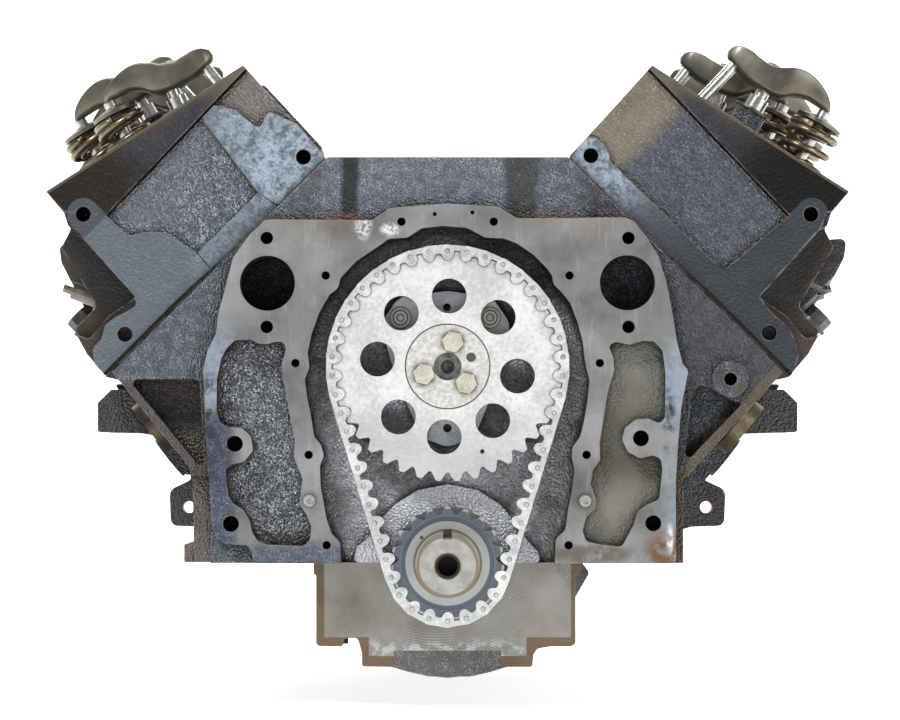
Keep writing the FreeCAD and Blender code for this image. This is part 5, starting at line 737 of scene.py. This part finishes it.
# ------------------------------------------------------------- valve springs
for side, sname in ((1, "left"), (-1, "right")):
    for kind in ("intake", "exhaust"):
        q = ROCK[kind]
        bm = bmesh.new()
        ax = Vector((side * q["va"][0], 0, q["va"][1]))
        e1 = Vector((0, 1, 0))
        e2 = ax.cross(e1).normalized()
        for idx, d in enumerate(valve_d(side, kind)):
            T = Vector((side * q["T"][0] / 1000, (d - 575) / 1000, q["T"][1] / 1000))
            for (rm, rw, turns, ph) in ((0.01610, 0.00265, 4.4, 0.4 + idx), (0.01040, 0.0017, 5.6, 2.2 + idx)):
                pts = []
                n = int(turns * 22)
                lo_, hi_ = -0.0539 + rw, -0.0115 - rw
                for i in range(n + 1):
                    f = i / n
                    tt = f * turns
                    # closed end coils, open coils between
                    if tt < 0.8:
                        h = tt * rw * 0.9
                    elif tt > turns - 0.8:
                        h = (hi_ - lo_) - (turns - tt) * rw * 0.9
                    else:
                        g = (tt - 0.8) / (turns - 1.6)
                        a0, a1 = 0.8 * rw * 0.9, (hi_ - lo_) - 0.8 * rw * 0.9
                        h = a0 + (a1 - a0) * g
                    an = ph + 2 * math.pi * tt
                    pts.append(T + ax * (lo_ + h) + e1 * (rm * math.cos(an)) + e2 * (rm * math.sin(an)))
                tube(bm, pts, rw, 10)
        o = new_obj("%s_%s_spring_coils" % (sname, kind), bm, M_SPRING)
        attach(o, "long_block")
        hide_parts(sname + "_valve_springs")
        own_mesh(o)


# -------------------------------------------------------------------- rockers
def curve(pts, n):
    """Smooth curve through 2-D points (Catmull-Rom), n samples a span."""
    out = []
    m = len(pts)
    for i in range(m - 1):
        p0, p1, p2, p3 = pts[max(i - 1, 0)], pts[i], pts[i + 1], pts[min(i + 2, m - 1)]
        for j in range(n):
            t = j / n
            out.append(tuple(0.5 * (2 * b + (c - a) * t + (2 * a - 5 * b + 4 * c - d) * t * t + (3 * b - a - 3 * c + d) * t ** 3)
                             for a, b, c, d in zip(p0, p1, p2, p3)))
    out.append(tuple(pts[-1]))
    return out


def at(table, s_):
    if s_ <= table[0][0]:
        return table[0][1]
    for a, b in zip(table, table[1:]):
        if s_ <= b[0]:
            f = (s_ - a[0]) / (b[0] - a[0])
            return a[1] + (b[1] - a[1]) * f
    return table[-1][1]


TOP = curve([(-9.6, 1.0), (-8.9, 4.6), (-4.0, 8.2), (3.0, 9.0), (11.0, 7.6), (19.0, 6.9), (27.0, 9.0), (34.1, 13.4), (43.1, 16.0),
             (52.0, 15.2), (60.0, 12.2), (66.0, 8.4), (69.9, 4.2), (71.2, 1.2)], 5)
BOT = curve([(-9.6, 0.8), (-7.5, -2.6), (0.1, -5.6), (9.1, -9.0), (19.3, -10.0), (30.0, -10.4), (38.0, -8.0), (44.0, -3.0),
             (52.4, 0.4), (60.0, 0.4), (66.0, 0.1), (69.6, 0.2), (71.2, 1.0)], 5)
WID = [(-9.6, 3.0), (-8.4, 6.4), (-4.0, 8.8), (4.0, 10.4), (14.0, 12.6), (25.0, 13.6), (36.0, 12.8), (50.0, 9.6), (62.0, 8.0), (69.0, 6.0), (71.2, 2.6)]
TRO = [(-9.6, 0.0), (6.0, 0.0), (12.0, 0.75), (20.0, 1.0), (33.0, 1.0), (42.0, 0.9), (50.0, 0.55), (58.0, 0.15), (62.0, 0.0), (71.2, 0.0)]


def rocker(bm, q, side, d):
    rows_ = []
    n = 46
    for i in range(n + 1):
        f = i / n
        s_ = -9.6 + 80.8 * (0.5 - 0.5 * math.cos(math.pi * f)) * 0.35 + 80.8 * f * 0.65
        t1, t0, hw, g = at(TOP, s_), at(BOT, s_), at(WID, s_), at(TRO, s_)
        if t1 - t0 < 0.5:
            t1 = t0 + 0.5
        hgt = t1 - t0
        rr = min(3.4, hgt * 0.45, hw * 0.6)
        lip = min(1.5, hgt * 0.3)
        wall = 3.0
        floor_ = max(t0 + 3.0, t1 - (hgt - 3.0)) if hgt > 4 else t1
        ti = t1 + (floor_ - t1) * g
        iw = max(hw - wall, hw * 0.5)
        half = [(0.0, t0)]
        for j in range(5):
            a = -math.pi / 2 + j * math.pi / 8
            half.append((hw - rr + rr * math.cos(a), t0 + rr + rr * math.sin(a)))
        for j in range(4):
            a = j * math.pi / 6
            half.append((hw - lip + lip * math.cos(a), t1 - lip + lip * math.sin(a)))
        half.append((iw - 0.2, t1 - (t1 - ti) * 0.10))
        half.append((iw - 0.5, t1 - (t1 - ti) * 0.60))
        half.append((iw * 0.62, ti))
        half.append((0.0, ti))
        ring = half + [(-a, b) for a, b in reversed(half[1:-1])]
        row = []
        for a, b in ring:
            X = q["P"][0] + q["ex"][0] * s_ + q["ez"][0] * b
            Z = q["P"][1] + q["ex"][1] * s_ + q["ez"][1] * b
            row.append(bm.verts.new((side * X / 1000, (d + a - 575) / 1000, Z / 1000)))
        rows_.append(row)
    m = len(rows_[0])
    for a, b in zip(rows_, rows_[1:]):
        for j in range(m):
            bm.faces.new((a[j], a[(j + 1) % m], b[(j + 1) % m], b[j]))
    bm.faces.new(list(reversed(rows_[0])))
    bm.faces.new(rows_[-1])


for side, sname in ((1, "left"), (-1, "right")):
    for kind in ("intake", "exhaust"):
        bm = bmesh.new()
        for d in valve_d(side, kind):
            rocker(bm, ROCK[kind], side, d)
        bmesh.ops.recalc_face_normals(bm, faces=bm.faces)
        o = new_obj("%s_%s_stamped_rockers" % (sname, kind), bm, M_ROCK)
        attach(o, "%s_%s_rocker_arms" % (sname, kind))
        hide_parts("%s_%s_rockers" % (sname, kind))


# --------------------------------------------------------------------- stage
floor_z = LO0[2] - 0.0005
fb = bmesh.new()
prof = [(-3.6, floor_z), (2.2, floor_z)]
for i in range(1, 13):
    a = math.pi / 2 * i / 12
    prof.append((2.2 + 1.2 * math.sin(a), floor_z + 1.2 * (1 - math.cos(a))))
prof.append((3.4, floor_z + 5.0))
rows = [[fb.verts.new((x, y, z)) for x in (-6.0, 6.0)] for y, z in prof]
for a, b in zip(rows, rows[1:]):
    fb.faces.new((a[0], a[1], b[1], b[0]))
kf = Mat("floor_look")
fmat = kf.done(kf.mix(kf.noise(3.0, 2.0), (0.54, 0.54, 0.537), (0.58, 0.58, 0.577)), 0.7, 0.0)
# seen from behind, the backdrop is clear
fnt = fmat.node_tree
fgeo = fnt.nodes.new("ShaderNodeNewGeometry")
finv = fnt.nodes.new("ShaderNodeMath")
finv.operation = "SUBTRACT"
finv.inputs[0].default_value = 1.0
fnt.links.new(fgeo.outputs["Backfacing"], finv.inputs[1])
for fn in fnt.nodes:
    if fn.type == "BSDF_PRINCIPLED":
        fnt.links.new(finv.outputs[0], fn.inputs["Alpha"])
        fn.inputs["Emission Color"].default_value = (1.0, 1.0, 1.0, 1.0)
        fn.inputs["Emission Strength"].default_value = 0.82
floor = new_obj("floor", fb, fmat)

sc = bpy.context.scene
w = bpy.data.worlds.new("world")
sc.world = w
w.use_nodes = True
w.node_tree.nodes["Background"].inputs[0].default_value = (1.0, 1.0, 1.0, 1.0)
w.node_tree.nodes["Background"].inputs[1].default_value = 0.29
sc.view_settings.view_transform = "Standard"


def area(name, loc, target, size, power, color=(1, 1, 1)):
    li = bpy.data.lights.new(name, "AREA")
    li.shape = "RECTANGLE"
    li.size, li.size_y = size
    li.energy = power
    li.color = color
    o = bpy.data.objects.new(name, li)
    sc.collection.objects.link(o)
    o.location = loc
    o.rotation_mode = "QUATERNION"
    o.rotation_quaternion = (Vector(target) - Vector(loc)).to_track_quat("-Z", "Y")
    return o


area("key", (-1.1, -2.5, 2.3), (0, -0.5, 0.15), (0.9, 0.6), 55)
area("fill", (1.9, -2.4, 0.9), (0, -0.5, 0.15), (0.8, 1.2), 21)
area("top", (0.2, -0.1, 2.2), (0, -0.3, 0.2), (1.3, 0.9), 35)
area("backdrop", (0.0, 1.0, 3.0), (0.0, 3.4, 0.5), (4.0, 1.0), 230)

cam = bpy.data.cameras.new("cam")
cam.sensor_width = 36.0
cam.lens = 36.0 * 2.6 / (900 * 0.6635e-3)
cam.shift_x = (450 - 447) / 900.0
cam.shift_y = (455 - 360) / 900.0
co = bpy.data.objects.new("cam", cam)
sc.collection.objects.link(co)
co.location = (-0.0004, -0.575 - 2.6, 0.072)
co.rotation_euler = (math.radians(90), 0, 0)
sc.camera = co
